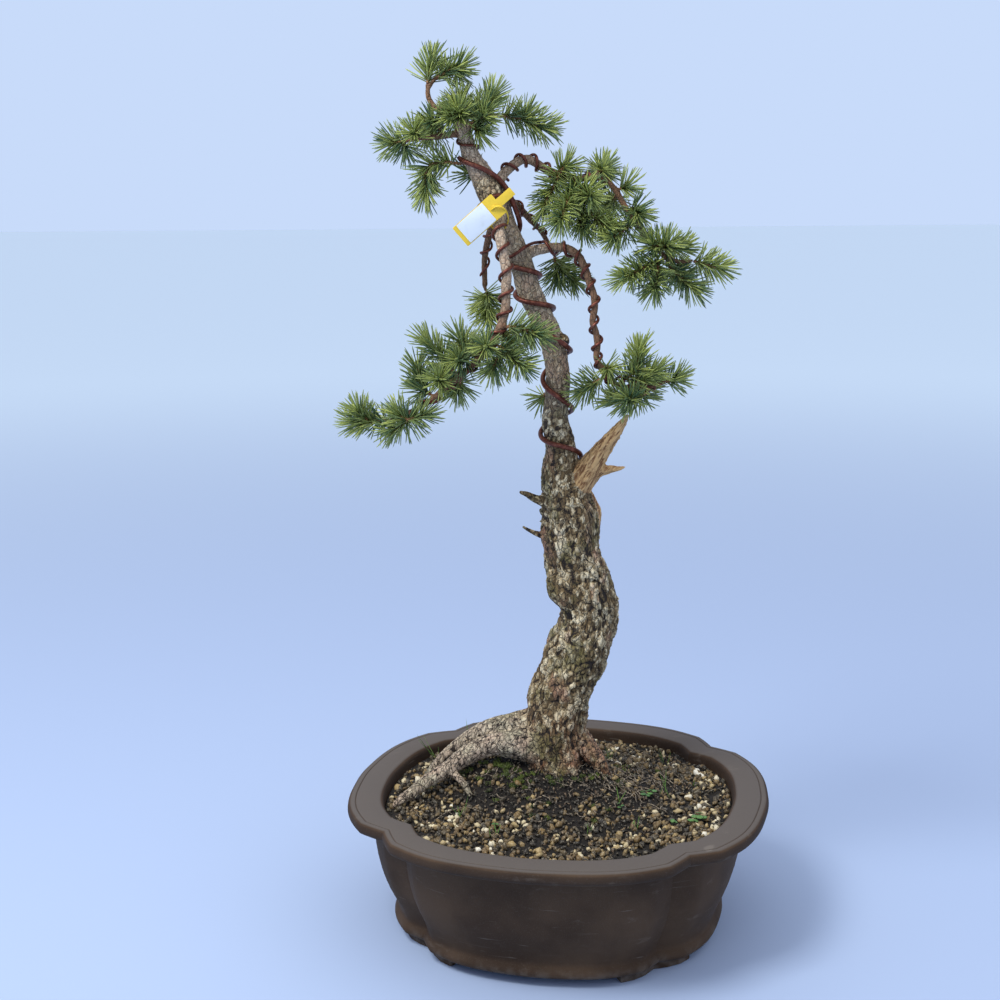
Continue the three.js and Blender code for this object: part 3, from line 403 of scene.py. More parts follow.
def settle(piece: Object, angle: float = 35.0) -> None:
    """Turn a piece's faces outwards and smooth all but its sharp edges.

    Args:
        piece: The piece to settle.
        angle: Edges sharper than this many degrees stay sharp.
    """
    with editing(piece):
        bpy.ops.mesh.normals_make_consistent(inside=False)
    bpy.ops.object.shade_smooth_by_angle(angle=math.radians(angle))


def smooth(piece: Object) -> None:
    """Smooth all of a piece's faces."""
    piece.data.polygons.foreach_set("use_smooth", [True] * len(piece.data.polygons))


def tapered(sides: int, radius: float, stages: Iterable[tuple[float, float]]) -> Object:
    """Pull a polygon up into a closed taper.

    Args:
        sides: How many sides it has.
        radius: Its radius at the foot.
        stages: How far each stage rises, and how many times as wide it ends.

    Returns:
        The taper.
    """
    piece = primitive(bpy.ops.mesh.primitive_circle_add, vertices=sides, radius=radius, fill_type="NGON")
    with editing(piece):
        for rise, grow in stages:
            pull(rise, grow)
    settle(piece, 80)
    return piece


def places_of(piece: Object) -> np.ndarray:
    """Read a piece's vertices as rows of x, y and z.

    Args:
        piece: The piece.

    Returns:
        The rows.
    """
    flat = np.empty(3 * len(piece.data.vertices))
    piece.data.vertices.foreach_get("co", flat)
    return flat.reshape(-1, 3)


def put_places(piece: Object, places: np.ndarray) -> None:
    """Write a piece's vertices from rows of x, y and z."""
    piece.data.vertices.foreach_set("co", np.ascontiguousarray(places, dtype=np.float64).ravel())
    piece.data.update()


def mark(piece: Object, name: str, values: np.ndarray) -> None:
    """Store one number a vertex on a piece for its finish to read."""
    attribute = piece.data.attributes.new(name, "FLOAT", "POINT")
    attribute.data.foreach_set("value", np.ascontiguousarray(values, dtype=np.float32))


def mesh_piece(name: str, places: np.ndarray, faces: Iterable[Sequence[int]]) -> Object:
    """Make a piece from rows of places and of corners.

    Args:
        name: The piece's name.
        places: Rows of x, y and z in metres.
        faces: The corners of each face.

    Returns:
        The new piece, linked to the scene.
    """
    mesh = bpy.data.meshes.new(name)
    mesh.from_pydata(places.tolist(), [], [list(face) for face in faces])
    mesh.update()
    piece = bpy.data.objects.new(name, mesh)
    bpy.context.scene.collection.objects.link(piece)
    return piece


def dress(piece: Object, slot: str, *materials: bpy.types.Material) -> None:
    """Give a piece its materials and its place on the one body.

    Args:
        piece: The piece.
        slot: Not used.
        materials: Its materials, one a slot of the mesh.
    """
    piece.data.materials.clear()
    for material in materials:
        piece.data.materials.append(material)
    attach(piece, "root")


def smooth_step(low: float, high: float, value: np.ndarray | float) -> np.ndarray | float:
    """Rise smoothly from 0 at low to 1 at high."""
    share = np.clip((value - low) / (high - low), 0.0, 1.0)
    return share * share * (3.0 - 2.0 * share)


def pointing(way: Sequence[float]) -> Matrix:
    """Give the turn that takes +Z to a direction."""
    return Vector(way).to_track_quat("Z", "Y").to_matrix()


def polar(radius: np.ndarray, turn: np.ndarray, height: np.ndarray | float) -> np.ndarray:
    """Turn radii, angles and heights into rows of x, y and z."""
    return np.stack([radius * np.cos(turn), radius * np.sin(turn), height + 0 * turn], axis=1)


def hump(x: float, y: float, middle: Sequence[float], spread: Sequence[float]) -> float:
    """Fall smoothly from 1 at a middle, with a spread along each axis."""
    return math.exp(-(((x - middle[0]) / spread[0]) ** 2) - ((y - middle[1]) / spread[1]) ** 2)


def held(value: float, low: float = 0, high: float = 1) -> float:
    """Keep a number between two others."""
    return min(max(value, low), high)


def unit(vectors: np.ndarray) -> np.ndarray:
    """Scale rows of vectors to length one."""
    return vectors / np.maximum(np.linalg.norm(vectors, axis=-1, keepdims=True), 1e-9)


Copy = tuple[np.ndarray, Sequence[float], float]


@dataclass
class Shape:
    """Points and triangles of one modelled shape, from which copies are made."""

    points: np.ndarray
    triangles: np.ndarray
    share: np.ndarray

    @classmethod
    def taken(cls, piece: Object, share: Callable[[np.ndarray], np.ndarray] | None = None) -> Shape:
        """Take the shape of a modelled piece, which is then removed.

        Args:
            piece: The modelled piece.
            share: Gives each point's number from 0 to 1, which its finish reads; else it is the height.

        Returns:
            The shape.
        """
        modify(piece, "TRIANGULATE")
        points = places_of(piece)
        triangles = np.array([tuple(face.vertices) for face in piece.data.polygons])
        bpy.data.meshes.remove(piece.data)
        return cls(points, triangles, share(points) if share else points[:, 2])


@dataclass
class Heap:
    """Copies of shapes gathered into one mesh, with numbers for their finish."""

    points: list[np.ndarray] = field(default_factory=list)
    triangles: list[np.ndarray] = field(default_factory=list)
    shares: list[np.ndarray] = field(default_factory=list)
    tones: list[np.ndarray] = field(default_factory=list)
    size: int = 0

    def add(self, shape: Shape, copies: Sequence[Copy]) -> None:
        """Add copies of a shape.

        Args:
            shape: The shape to copy.
            copies: The 3 by 3 matrix, the place in metres and the tone of each copy.
        """
        turns, places, tones = (np.array([copy[k] for copy in copies]) for k in range(3))
        points = np.einsum("nij,kj->nki", turns, shape.points) + places[:, None, :]
        first = self.size + np.arange(len(places))[:, None, None] * len(shape.points)
        self.points.append(points.reshape(-1, 3))
        self.triangles.append((shape.triangles[None] + first).reshape(-1, 3))
        self.size += len(self.points[-1])
        self.shares.append(np.tile(shape.share, len(places)))
        self.tones.append(np.repeat(tones, len(shape.points)))

    def piece(self, name: str) -> Object:
        """Make the gathered mesh.

        Args:
            name: The piece's name.

        Returns:
            The piece, with its numbers stored on its points.
        """
        made = mesh_piece(name, np.concatenate(self.points), np.concatenate(self.triangles).tolist())
        mark(made, "share", np.concatenate(self.shares))
        mark(made, "tone", np.concatenate(self.tones))
        smooth(made)
        return made


# Limbs


def flow(stops: np.ndarray, step: float) -> np.ndarray:
    """Lay a smooth centripetal curve through stops.

    Args:
        stops: Rows of x, y and z and any more numbers to carry along.
        step: About how far apart the new rows stand.

    Returns:
        Rows like the stops, with the share of the way in stops added as the last number.
    """
    rows = np.vstack([2 * stops[0] - stops[1], stops, 2 * stops[-1] - stops[-2]])
    made = []
    for i in range(1, len(rows) - 2):
        before, start, end, after = rows[i - 1 : i + 3]
        gaps = [max(np.linalg.norm(q[:3] - p[:3]) ** 0.5, 1e-4) for p, q in
                ((before, start), (start, end), (end, after))]
        leave = (start - before) / gaps[0] - (end - before) / (gaps[0] + gaps[1]) + (end - start) / gaps[1]
        arrive = (end - start) / gaps[1] - (after - start) / (gaps[1] + gaps[2]) + (after - end) / gaps[2]
        count = max(1, round(float(np.linalg.norm(end[:3] - start[:3])) / step))
        t = np.arange(count)[:, None] / count
        part = ((2 * t**3 - 3 * t**2 + 1) * start + (t**3 - 2 * t**2 + t) * leave * gaps[1]
                + (3 * t**2 - 2 * t**3) * end + (t**3 - t**2) * arrive * gaps[1])
        made.append(np.hstack([part, i - 1 + t]))
    made.append(np.append(stops[-1], len(stops) - 1.0)[None])
    return np.vstack(made)


class Limb:
    """A round limb along a smooth route, with a frame at each of its rings."""

    def __init__(self, route: Sequence[Sequence[float]], wood: Wood, lump: float, step: float = 3) -> None:
        """Lay the limb.

        Args:
            route: Stops of x, y, z and radius.
            wood: What the limb is.
            lump: How strong its knots and flutes are.
            step: The distance between rings.
        """
        rows = flow(np.array(route, float), step)
        self.wood = wood
        self.lump = lump
        self.base = route[0][2]
        self.thickest = max(stop[3] for stop in route)
        self.centres, self.radii, self.stops = rows[:, :3], rows[:, 3], rows[:, 4]
        self.along = unit(np.gradient(self.centres, axis=0))
        self.run = np.append(0.0, np.cumsum(np.linalg.norm(np.diff(self.centres, axis=0), axis=1)))
        across = np.array([1.0, 0, 0]) if abs(self.along[0][0]) < 0.8 else np.array([0, 0, 1.0])
        self.across = np.empty_like(self.centres)
        for i, along in enumerate(self.along):
            across = unit(across - along * across.dot(along))
            self.across[i] = across
        self.over = np.cross(self.along, self.across)

    def relief(self, ring: int, angle: np.ndarray) -> np.ndarray:
        """Give the radius at a ring: knots and flutes, deepest where it is thickest.

        Args:
            ring: The ring's number.
            angle: Angles round it, in radians.

        Returns:
            The radii.
        """
        z = self.base + self.stops[ring] * 9
        wave = (0.5 * np.sin(3 * angle + z * 0.11) + 0.35 * np.sin(5 * angle - z * 0.23 + 1)
                + 0.3 * np.sin(2 * angle + z * 0.31 + 2))
        radius = self.radii[ring]
        return radius * (1 + self.lump * wave * radius / self.thickest)

    def tube(self, sides: int, grown: float = 0.0) -> Object:
        """Make the limb's closed skin.

        Args:
            sides: How many sides it has.
            grown: How much thicker it is made.

        Returns:
            The skin as a piece, in metres.
        """
        angle = 2 * math.pi * np.arange(sides) / sides
        rings = []
        for i, centre in enumerate(self.centres):
            reach = (self.relief(i, angle) + grown)[:, None]
            spokes = np.cos(angle)[:, None] * self.across[i] + np.sin(angle)[:, None] * self.over[i]
            rings.append(centre + reach * spokes)
        last = len(rings) - 1
        domes = [self.centres[0] - self.along[0] * self.radii[0] * 0.35,
                 self.centres[-1] + self.along[-1] * self.radii[-1] * 0.5]
        faces = []
        for i in range(last):
            for j in range(sides):
                k = (j + 1) % sides
                faces.append((i * sides + j, i * sides + k, (i + 1) * sides + k, (i + 1) * sides + j))
        foot = (last + 1) * sides
        for j in range(sides):
            k = (j + 1) % sides
            faces.append((foot, k, j))
            faces.append((foot + 1, last * sides + j, last * sides + k))
        return mesh_piece("limb", np.vstack(rings + domes) * MM, faces)


@dataclass
class Shoot:
    """One needled stem of a spray."""

    spray: str
    limb: Limb


class Skeleton:
    """All the routes of the tree: limbs, the bare twigs of the sprays, and the needled stems."""

    CORE = 1.5
    CORE_THINS = 0.35
    GAP = 0.35
    BACK = 10.0
    NECK = 2.4
    THICKEST_TWIG = 2.0
    NEAREST_STOP = 4.0
    NEAREST_FORK = 3.2

    def __init__(self) -> None:
        """Lay every limb, and grow each spray from the limb nearest to it."""
        self.trunk = Limb(TRUNK, Wood.TRUNK, 0.1)
        lumps = {Wood.ROOT: 0.1, Wood.DEAD: 0.14, Wood.STUMP: 0.14, Wood.BRANCH: 0.05}
        kinds = {name: KINDS.get(name, Wood.BRANCH) for name in LIMBS}
        self.limbs = {name: Limb(route, kinds[name], lumps[kinds[name]]) for name, route in LIMBS.items()}
        self.twigs: list[Limb] = []
        self.shoots: list[Shoot] = []
        living = [self.trunk] + [limb for limb in self.limbs.values() if limb.wood is Wood.BRANCH]
        for spray, stems in SPRAYS.items():
            self._grow(spray, [np.array(stem, float) for stem in stems], living)
        self.tree = KDTree(sum(len(limb.centres) for limb in self.wood()))
        self.reaches: list[float] = []
        for limb in self.wood():
            for centre, radius in zip(limb.centres, limb.radii):
                self.tree.insert(centre, len(self.reaches))
                self.reaches.append(float(radius))
        self.tree.balance()

    def wood(self) -> list[Limb]:
        """List the trunk, the limbs and the bare twigs."""
        return [self.trunk, *self.limbs.values(), *self.twigs]

    def is_clear(self, place: np.ndarray, spare: float) -> bool:
        """Say whether a place in millimetres stands clear of the wood."""
        return all(gap > self.reaches[i] + spare for _, i, gap in self.tree.find_n(place, 3))

    def _grow(self, spray: str, stems: list[np.ndarray], living: list[Limb]) -> None:
        """Lay a spray's bare twig and its needled stems.

        Args:
            spray: The spray's name.
            stems: The routes of its stems.
            living: The limbs that it may grow from.
        """
        route = stems[0]
        gaps = [np.linalg.norm(limb.centres - route[0], axis=1) for limb in living]
        limb, gap = min(zip(living, gaps), key=lambda pair: pair[1].min())
        centre, radius = limb.centres[gap.argmin()], float(limb.radii[gap.argmin()])
        whole = flow(route, 0.4)[:, :3]
        room = np.linalg.norm(whole - centre, axis=1) >= radius * 1.08 + self.CORE + 1
        first = min(int(np.argmax(room)) if room.any() else len(whole) - 1, int(0.6 * len(whole)))
        root = whole[first]
        onward = unit(whole[min(first + 1, len(whole) - 1)] - whole[max(first - 1, 0)])
        beyond = [p for p in route[1:]
                  if np.linalg.norm(p - root) > self.NEAREST_STOP and (p - root).dot(onward) > 0]
        main = self._shoot(spray, np.vstack([root, *beyond]))
        reach = min(self.THICKEST_TWIG, radius * 0.8)
        end = root - main.along[0] * self.GAP
        stops = [centre, end - main.along[0] * self.NECK, end]
        self.twigs.append(Limb([[*stop, reach] for stop in stops], Wood.BRANCH, 0.0, step=1.5))
        for side in stems[1:]:
            near = np.linalg.norm(main.centres - side[0], axis=1)
            near[main.run < self.NEAREST_FORK] = np.inf
            self._shoot(spray, np.vstack([main.centres[near.argmin()], *side[1:]]))

    def _shoot(self, spray: str, points: np.ndarray) -> Limb:
        """Lay one needled stem, which thins towards its end, short of the tips of its needles.

        Args:
            spray: The spray's name.
            points: The stem's route.

        Returns:
            The stem.
        """
        fine = flow(points, 0.5)[:, :3]
        run = np.append(0.0, np.cumsum(np.linalg.norm(np.diff(fine, axis=0), axis=1)))
        end = max(run[-1] - self.BACK, run[-1] * 0.5)
        kept = fine[run <= end][::5]
        route = [[*point, self.CORE * (1 - self.CORE_THINS * k / len(kept))] for k, point in enumerate(kept)]
        limb = Limb(route, Wood.BRANCH, 0.0, step=10.0)
        self.shoots.append(Shoot(spray, limb))
        return limb


# Shader maths and nodes


def tint(red: float, green: float, blue: float) -> Colour:
    """Turn a screen colour of 0 to 255 into the linear colour that nodes use.

    Args:
        red: Its red.
        green: Its green.
        blue: Its blue.

    Returns:
        Red, green, blue and alpha from 0 to 1.
    """
    parts = [c / 255 for c in (red, green, blue)]
    linear = [c / 12.92 if c <= 0.04045 else ((c + 0.055) / 1.055) ** 2.4 for c in parts]
    return (*linear, 1.0)


class Socket:
    """A node's output, on which Python's operators add Math nodes."""

    def __init__(self, graph: Graph, output: bpy.types.NodeSocket) -> None:
        """Wrap an output of a node of a graph."""
        self.graph = graph
        self.output = output

    def _math(self, operation: str, *values: Socket | float) -> Socket:
        """Add a Math node."""
        return self.graph.node("ShaderNodeMath", {"operation": operation}, dict(enumerate(values)))

    def __add__(self, other: Socket | float) -> Socket:
        """Add."""
        return self._math("ADD", self, other)

    __radd__ = __add__

    def __mul__(self, other: Socket | float) -> Socket:
        """Multiply."""
        return self._math("MULTIPLY", self, other)

    def clamp(self) -> Socket:
        """Keep between 0 and 1."""
        return self.graph.node("ShaderNodeClamp", {}, {0: self})

    def step(self, low: float, high: float) -> Socket:
        """Rise smoothly from 0 at low to 1 at high; low may be the greater, and then it falls."""
        inputs = {0: self, 1: low, 2: high, 3: 0.0, 4: 1.0}
        return self.graph.node("ShaderNodeMapRange", {"interpolation_type": "SMOOTHSTEP"}, inputs)


Value = Socket | float | Colour


class Graph:
    """The nodes of one material."""

    def __init__(self, name: str) -> None:
        """Start a material with only its output node.

        Args:
            name: The material's name.
        """
        self.material = bpy.data.materials.new(name)
        self.material.use_nodes = True
        self.tree = self.material.node_tree
        self.tree.nodes.clear()

    def node(self, kind: str, settings: dict[str, object], inputs: dict[int | str, Value],
             output: int | str = 0) -> Socket:
        """Add a node.

        Args:
            kind: The node's type.
            settings: Its own settings, set first; "stops" are a ramp's places and colours.
            inputs: Values or links of its sockets, by number or name.
            output: Which of its outputs to hand back.

        Returns:
            The chosen output.
        """
        made = self.tree.nodes.new(kind)
        for key, value in settings.items():
            if key == "stops":
                self.set_stops(made.color_ramp.elements, value)
            else:
                setattr(made, key, value)
        for key, value in inputs.items():
            if isinstance(value, Socket):
                self.tree.links.new(value.output, made.inputs[key])
            else:
                made.inputs[key].default_value = value
        return Socket(self, made.outputs[output])

    @staticmethod
    def set_stops(elements: bpy.types.ColorRampElements, stops: Sequence[tuple[float, Colour]]) -> None:
        """Set a ramp's stops.

        Args:
            elements: The ramp's elements.
            stops: Pairs of place and colour.
        """
        while len(elements) > 1:
            elements.remove(elements[-1])
        elements[0].position, elements[0].color = stops[0]
        for place, colour in stops[1:]:
            elements.new(place).color = colour

    def place(self) -> Socket:
        """Give the place on the piece, in metres."""
        return self.node("ShaderNodeTexCoord", {}, {}, "Object")

    def scaled(self, place: Socket, scale: tuple[float, float, float]) -> Socket:
        """Stretch a place by a scale along each axis."""
        return self.node("ShaderNodeVectorMath", {"operation": "MULTIPLY"}, {0: place, 1: scale})

    def shifted(self, place: Socket, shift: Socket) -> Socket:
        """Move a place by a vector."""
        return self.node("ShaderNodeVectorMath", {"operation": "ADD"}, {0: place, 1: shift})

    def read(self, name: str) -> Socket:
        """Read a number stored on the piece's points."""
        return self.node("ShaderNodeAttribute", {"attribute_name": name}, {}, "Fac")

    def noise(self, place: Socket, scale: float, detail: float = 3.0, roughness: float = 0.55,
              twist: float = 0.0) -> Socket:
        """Add soft noise.

        Args:
            place: Where it is read.
            scale: Waves a metre.
            detail: Octaves.
            roughness: How strong the finer octaves are.
            twist: How much it is distorted.

        Returns:
            Its value, about 0.5.
        """
        return self.node("ShaderNodeTexNoise", {}, {
            "Vector": place, "Scale": scale, "Detail": detail, "Roughness": roughness, "Distortion": twist})

    def cells(self, place: Socket, scale: float, feature: str = "F1", output: int = 0) -> Socket:
        """Add cells.

        Args:
            place: Where they are read.
            scale: Cells a metre.
            feature: F1 for the distance to a cell's point, DISTANCE_TO_EDGE for that to its edge.
            output: 0 for the distance, 1 for the cell's own colour.

        Returns:
            The chosen output.
        """
        inputs = {"Vector": place, "Scale": scale}
        return self.node("ShaderNodeTexVoronoi", {"feature": feature}, inputs, output)

    def ramp(self, share: Socket, *stops: tuple[float, Colour]) -> Socket:
        """Turn a number into a colour by stops."""
        return self.node("ShaderNodeValToRGB", {"stops": stops}, {0: share})

    def mix(self, factor: Socket | float, first: Value, second: Value, blend: str = "MIX") -> Socket:
        """Mix two colours.

        Args:
            factor: The share of the second colour.
            first: The colour below.
            second: The colour laid on it.
            blend: How it is laid on.

        Returns:
            The mixed colour.
        """
        settings = {"data_type": "RGBA", "blend_type": blend}
        return self.node("ShaderNodeMix", settings, {0: factor, 6: first, 7: second}, 2)

    def bump(self, height: Socket, distance: float, strength: float = 1.0,
             onto: Socket | None = None) -> Socket:
        """Turn a height from 0 to 1 into a normal.

        Args:
            height: The height.
            distance: How far 0 is below 1, in metres.
            strength: The share of the effect.
            onto: A normal to add it to.

        Returns:
            The normal.
        """
        inputs: dict[int | str, Value] = {"Height": height, "Distance": distance, "Strength": strength}
        if onto is not None:
            inputs["Normal"] = onto
        return self.node("ShaderNodeBump", {}, inputs)

    def surface(self, colour: Value, roughness: Value, normal: Socket | None = None,
                **more: Value) -> bpy.types.Material:
        """Close the material with a Principled shader.

        Args:
            colour: The base colour.
            roughness: The roughness.
            normal: The normal, where it isn't plain.
            more: Other inputs, with _ for a space in their names.

        Returns:
            The finished material.
        """
        inputs: dict[int | str, Value] = {"Base Color": colour, "Roughness": roughness}
        if normal is not None:
            inputs["Normal"] = normal
        inputs.update({key.replace("_", " "): value for key, value in more.items()})
        shader = self.node("ShaderNodeBsdfPrincipled", {}, inputs)
        end = self.tree.nodes.new("ShaderNodeOutputMaterial")
        self.tree.links.new(shader.output, end.inputs["Surface"])
        return self.material


# Finishes


@dataclass(frozen=True)
class Stoneware:
    """Unglazed brown clay with fine grit and dust dried at the foot, with a painted highlight on the top of
    the lip and painted shade on the band below it.
    """

    body: Colour = tint(55, 38, 22)
    worn: Colour = tint(76, 57, 39)
    # Painted highlight: the lit colour of the lip's top, also used for the pale specks in the clay.
    lip: Colour = tint(94, 87, 81)
    dust: Colour = tint(140, 130, 118)

    def material(self) -> bpy.types.Material:
        """Build the finish.

        Returns:
            The material.
        """
        graph = Graph("stoneware")
        place = graph.place()
        height = graph.node("ShaderNodeSeparateXYZ", {}, {0: place}, 2)
        grain = graph.noise(place, 900, 2)
        grit = graph.cells(place, 380)
        streaks = graph.noise(graph.scaled(place, (26, 26, 70)), 1.0, 5, 0.65, 0.4)
        colour = graph.mix(graph.noise(place, 11, 4).step(0.35, 0.68), self.body, self.worn)
        # Painted highlight: the top of the lip, above about 142.8 mm, takes the paler lip colour as if lit
        # from above.
        colour = graph.mix(height.step(0.1428, 0.144) * 0.9, colour, self.lip)
        # Painted shade: a darker band between about 130 and 142.5 mm high, on the lip's outer face and on the
        # inner wall above the soil.
        edge = height.step(0.13, 0.134) * height.step(0.1425, 0.141)
        colour = graph.mix(edge * 0.5, colour, tint(40, 28, 18))
        colour = graph.mix(grain.step(0.52, 0.75) * 0.25, colour, self.lip)
        colour = graph.mix(grit.step(0.14, 0.04) * 0.45, colour, tint(40, 34, 30))
        foot = height.step(0.024, 0.006) * graph.noise(place, 55, 3).step(0.42, 0.62) * 0.3
        dry = streaks.step(0.6, 0.74) * 0.16
        colour = graph.mix((foot + dry).clamp(), colour, self.dust)
        scratch = graph.noise(graph.scaled(place, (16, 16, 420)), 1.0, 2, 0.5, 0.8)
        colour = graph.mix(scratch.step(0.7, 0.74) * 0.3, colour, self.dust)
        normal = graph.bump(graph.noise(place, 30, 3), 0.0008, 0.4)
        normal = graph.bump(grain + grit.step(0.3, 0.05) * -0.3, 0.00025, 0.6, normal)
        return graph.surface(colour, 0.7 + grain * 0.15, normal, Specular_IOR_Level=0.3)


@dataclass(frozen=True)
class Bark:
    """Old flaking bark, younger brown bark, and bare sun-bleached wood."""

    ridge: Colour = tint(232, 215, 176)
    plate: Colour = tint(178, 156, 116)
    shade: Colour = tint(114, 92, 58)
    olive: Colour = tint(116, 108, 58)
    pink: Colour = tint(196, 146, 116)
    rust: Colour = tint(150, 96, 66)
    # Dark colour of the cracks and lines, also used as painted shade in the bark's lowest grooves.
    crack_and_groove_shade: Colour = tint(44, 33, 22)
    cream: Colour = tint(218, 207, 184)
    young: Colour = tint(164, 136, 110)
    shoot: Colour = tint(128, 94, 68)
    bleached: Colour = tint(206, 166, 112)
    grain: Colour = tint(120, 80, 46)

    def material(self) -> bpy.types.Material:
        """Build the finish from the marks that the tree's maker left on its points.

        Returns:
            The material.
        """
        graph = Graph("bark")
        place = graph.place()
        high, tone, dead, age, root = (graph.read(name) for name in ("high", "tone", "dead", "age", "root"))
        warp = graph.node("ShaderNodeTexNoise", {}, {"Vector": place, "Scale": 120.0, "Detail": 2.0}, 1)
        bent = graph.shifted(graph.scaled(place, (1, 1, 0.55)), graph.scaled(warp, (0.005, 0.005, 0.004)))
        chip = graph.cells(bent, 210, output=1)
        edge = graph.cells(bent, 210, "DISTANCE_TO_EDGE")
        flakes = graph.noise(place, 520, 4, 0.7, 0.6)
        own = graph.node("ShaderNodeRGBToBW", {}, {0: chip})
        light = (own * 0.3 + tone * 0.25 + flakes * 0.45 + high * 0.22).clamp()
        colour = graph.ramp(light, (0.4, self.shade), (0.54, self.plate), (0.7, self.ridge))
        patches = graph.noise(place, 30, 4, 0.6)
        colour = graph.mix(patches.step(0.5, 0.62) * 0.6, colour, self.olive)
        rosy = graph.noise(graph.scaled(place, (24, 24, 14)), 1.0, 3)
        colour = graph.mix(rosy.step(0.54, 0.64) * 0.6, colour, self.pink)
        spread = graph.node("ShaderNodeSeparateXYZ", {}, {0: place}, 2)
        colour = graph.mix(spread.step(0.245, 0.17) * patches.step(0.6, 0.42) * 0.55, colour, self.rust)
        colour = graph.mix(root * (0.15 + flakes * 0.6), colour, self.cream)
        rift = graph.noise(graph.scaled(bent, (110, 110, 60)), 1.0, 3, 0.55, 0.5)
        line = rift.step(0.465, 0.5) * rift.step(0.535, 0.5)
        # Dark cracks at the chips' edges and along the rifts, and, from the height term, painted shade in the
        # lowest grooves of the raised bark.
        cracks_and_groove_shade = (edge.step(0.06, 0.01) * 0.5 + high.step(0.2, 0.06) + line * 0.75).clamp()
        colour = graph.mix(cracks_and_groove_shade, colour, self.crack_and_groove_shade)
        fresh = graph.mix(flakes.step(0.35, 0.7), self.young, tint(222, 202, 174))
        fresh = graph.mix(age.step(0.18, 0.04), fresh, self.shoot)
        fresh = graph.mix(edge.step(0.1, 0.02) * 0.35, fresh, self.crack_and_groove_shade)
        colour = graph.mix(age.step(0.66, 1.0), fresh, colour)
        lying = graph.node("ShaderNodeMapping", {}, {"Vector": place, "Rotation": (0.0, -0.62, 0.0)})
        streaks = graph.noise(graph.scaled(lying, (800, 800, 42)), 1.0, 4, 0.6)
        bare = graph.mix((tone * 0.4 + streaks * 0.7).step(0.38, 0.66), self.grain, self.bleached)
        bare = graph.mix(streaks.step(0.58, 0.74) * 0.6, bare, tint(230, 204, 162))
        colour = graph.mix(dead, colour, bare)
        scales = flakes * 0.5 + edge.step(0.0, 0.16) * 0.7 + own * 0.4
        normal = graph.bump(graph.mix(dead, scales * (0.4 + age * 0.6), streaks * 0.5), 0.0022, 1.0)
        return graph.surface(colour, 0.78 + flakes * 0.14, normal)


@dataclass(frozen=True)
class Grains:
    """Loose grains whose colour goes by each grain's own tone."""

    name: str
    stops: tuple[tuple[float, Colour], ...]
    rough: float = 0.75

    def material(self) -> bpy.types.Material:
        """Build the finish.

        Returns:
            The material.
        """
        graph = Graph(self.name)
        place = graph.place()
        speck = graph.noise(place, 700, 3, 0.6)
        colour = graph.ramp(graph.read("tone"), *self.stops)
        colour = graph.mix(speck.step(0.45, 0.7) * 0.3, colour, tint(226, 214, 186))
        colour = graph.mix(speck.step(0.45, 0.25) * 0.55, colour, tint(66, 52, 36))
        return graph.surface(colour, self.rough, graph.bump(speck, 0.0006, 0.7))


@dataclass(frozen=True)
class Humus:
    """The dark fine soil between the grains."""

    dark: Colour = tint(18, 15, 12)
    light: Colour = tint(62, 50, 36)

    def material(self) -> bpy.types.Material:
        """Build the finish.

        Returns:
            The material.
        """
        graph = Graph("humus")
        place = graph.place()
        crumbs = graph.noise(place, 480, 4, 0.7)
        colour = graph.mix(crumbs.step(0.45, 0.75), self.dark, self.light)
        return graph.surface(colour, 0.92, graph.bump(crumbs, 0.002, 1.0))


@dataclass(frozen=True)
class Copper:
    """Brown anodised bonsai wire with a soft shine and slight scuffs."""

    deep: Colour = tint(98, 52, 40)
    bright: Colour = tint(150, 92, 70)

    def material(self) -> bpy.types.Material:
        """Build the finish.

        Returns:
            The material.
        """
        graph = Graph("bonsai_wire")
        place = graph.place()
        scuffs = graph.noise(place, 260, 4, 0.65, 0.5)
        colour = graph.mix(scuffs.step(0.45, 0.75), self.deep, self.bright)
        colour = graph.mix(graph.noise(place, 60, 3).step(0.6, 0.72) * 0.4, colour, tint(116, 96, 84))
        rough = 0.3 + scuffs * 0.25
        return graph.surface(colour, rough, graph.bump(scuffs, 0.0002, 0.4), Metallic=0.65)


@dataclass(frozen=True)
class Plastic:
    """Weathered tag plastic or a paper label: one colour with dirt and faint fibres."""

    name: str
    colour: Colour
    dirt: Colour
    rough: float

    def material(self) -> bpy.types.Material:
        """Build the finish.

        Returns:
            The material.
        """
        graph = Graph(self.name)
        place = graph.place()
        cloud = graph.noise(place, 90, 4, 0.6)
        fine = graph.noise(place, 1600, 2)
        colour = graph.mix(cloud.step(0.5, 0.75) * 0.35, self.colour, self.dirt)
        colour = graph.mix(fine.step(0.6, 0.8) * 0.15, colour, self.dirt)
        return graph.surface(colour, self.rough + cloud * 0.15, graph.bump(fine, 0.0001, 0.4))


@dataclass(frozen=True)
class Leaf:
    """Green parts that go from a root colour to a tip colour, some bluer and some yellower."""

    name: str
    root: Colour
    blue: Colour
    yellow: Colour
    rough: float = 0.42

    def material(self) -> bpy.types.Material:
        """Build the finish.

        Returns:
            The material.
        """
        graph = Graph(self.name)
        tone, share = graph.read("tone"), graph.read("share")
        streak = graph.noise(graph.place(), 900, 2)
        colour = graph.mix(tone, self.blue, self.yellow)
        colour = graph.mix(streak.step(0.45, 0.75) * 0.35, colour, tint(176, 186, 140))
        colour = graph.mix(share.step(0.16, 0.02), colour, self.root)
        colour = graph.mix(share.step(0.95, 1.0) * 0.7, colour, tint(150, 130, 70))
        normal = graph.bump(streak, 0.0002, 0.3)
        return graph.surface(colour, self.rough + streak * 0.15, normal, Specular_IOR_Level=0.4)


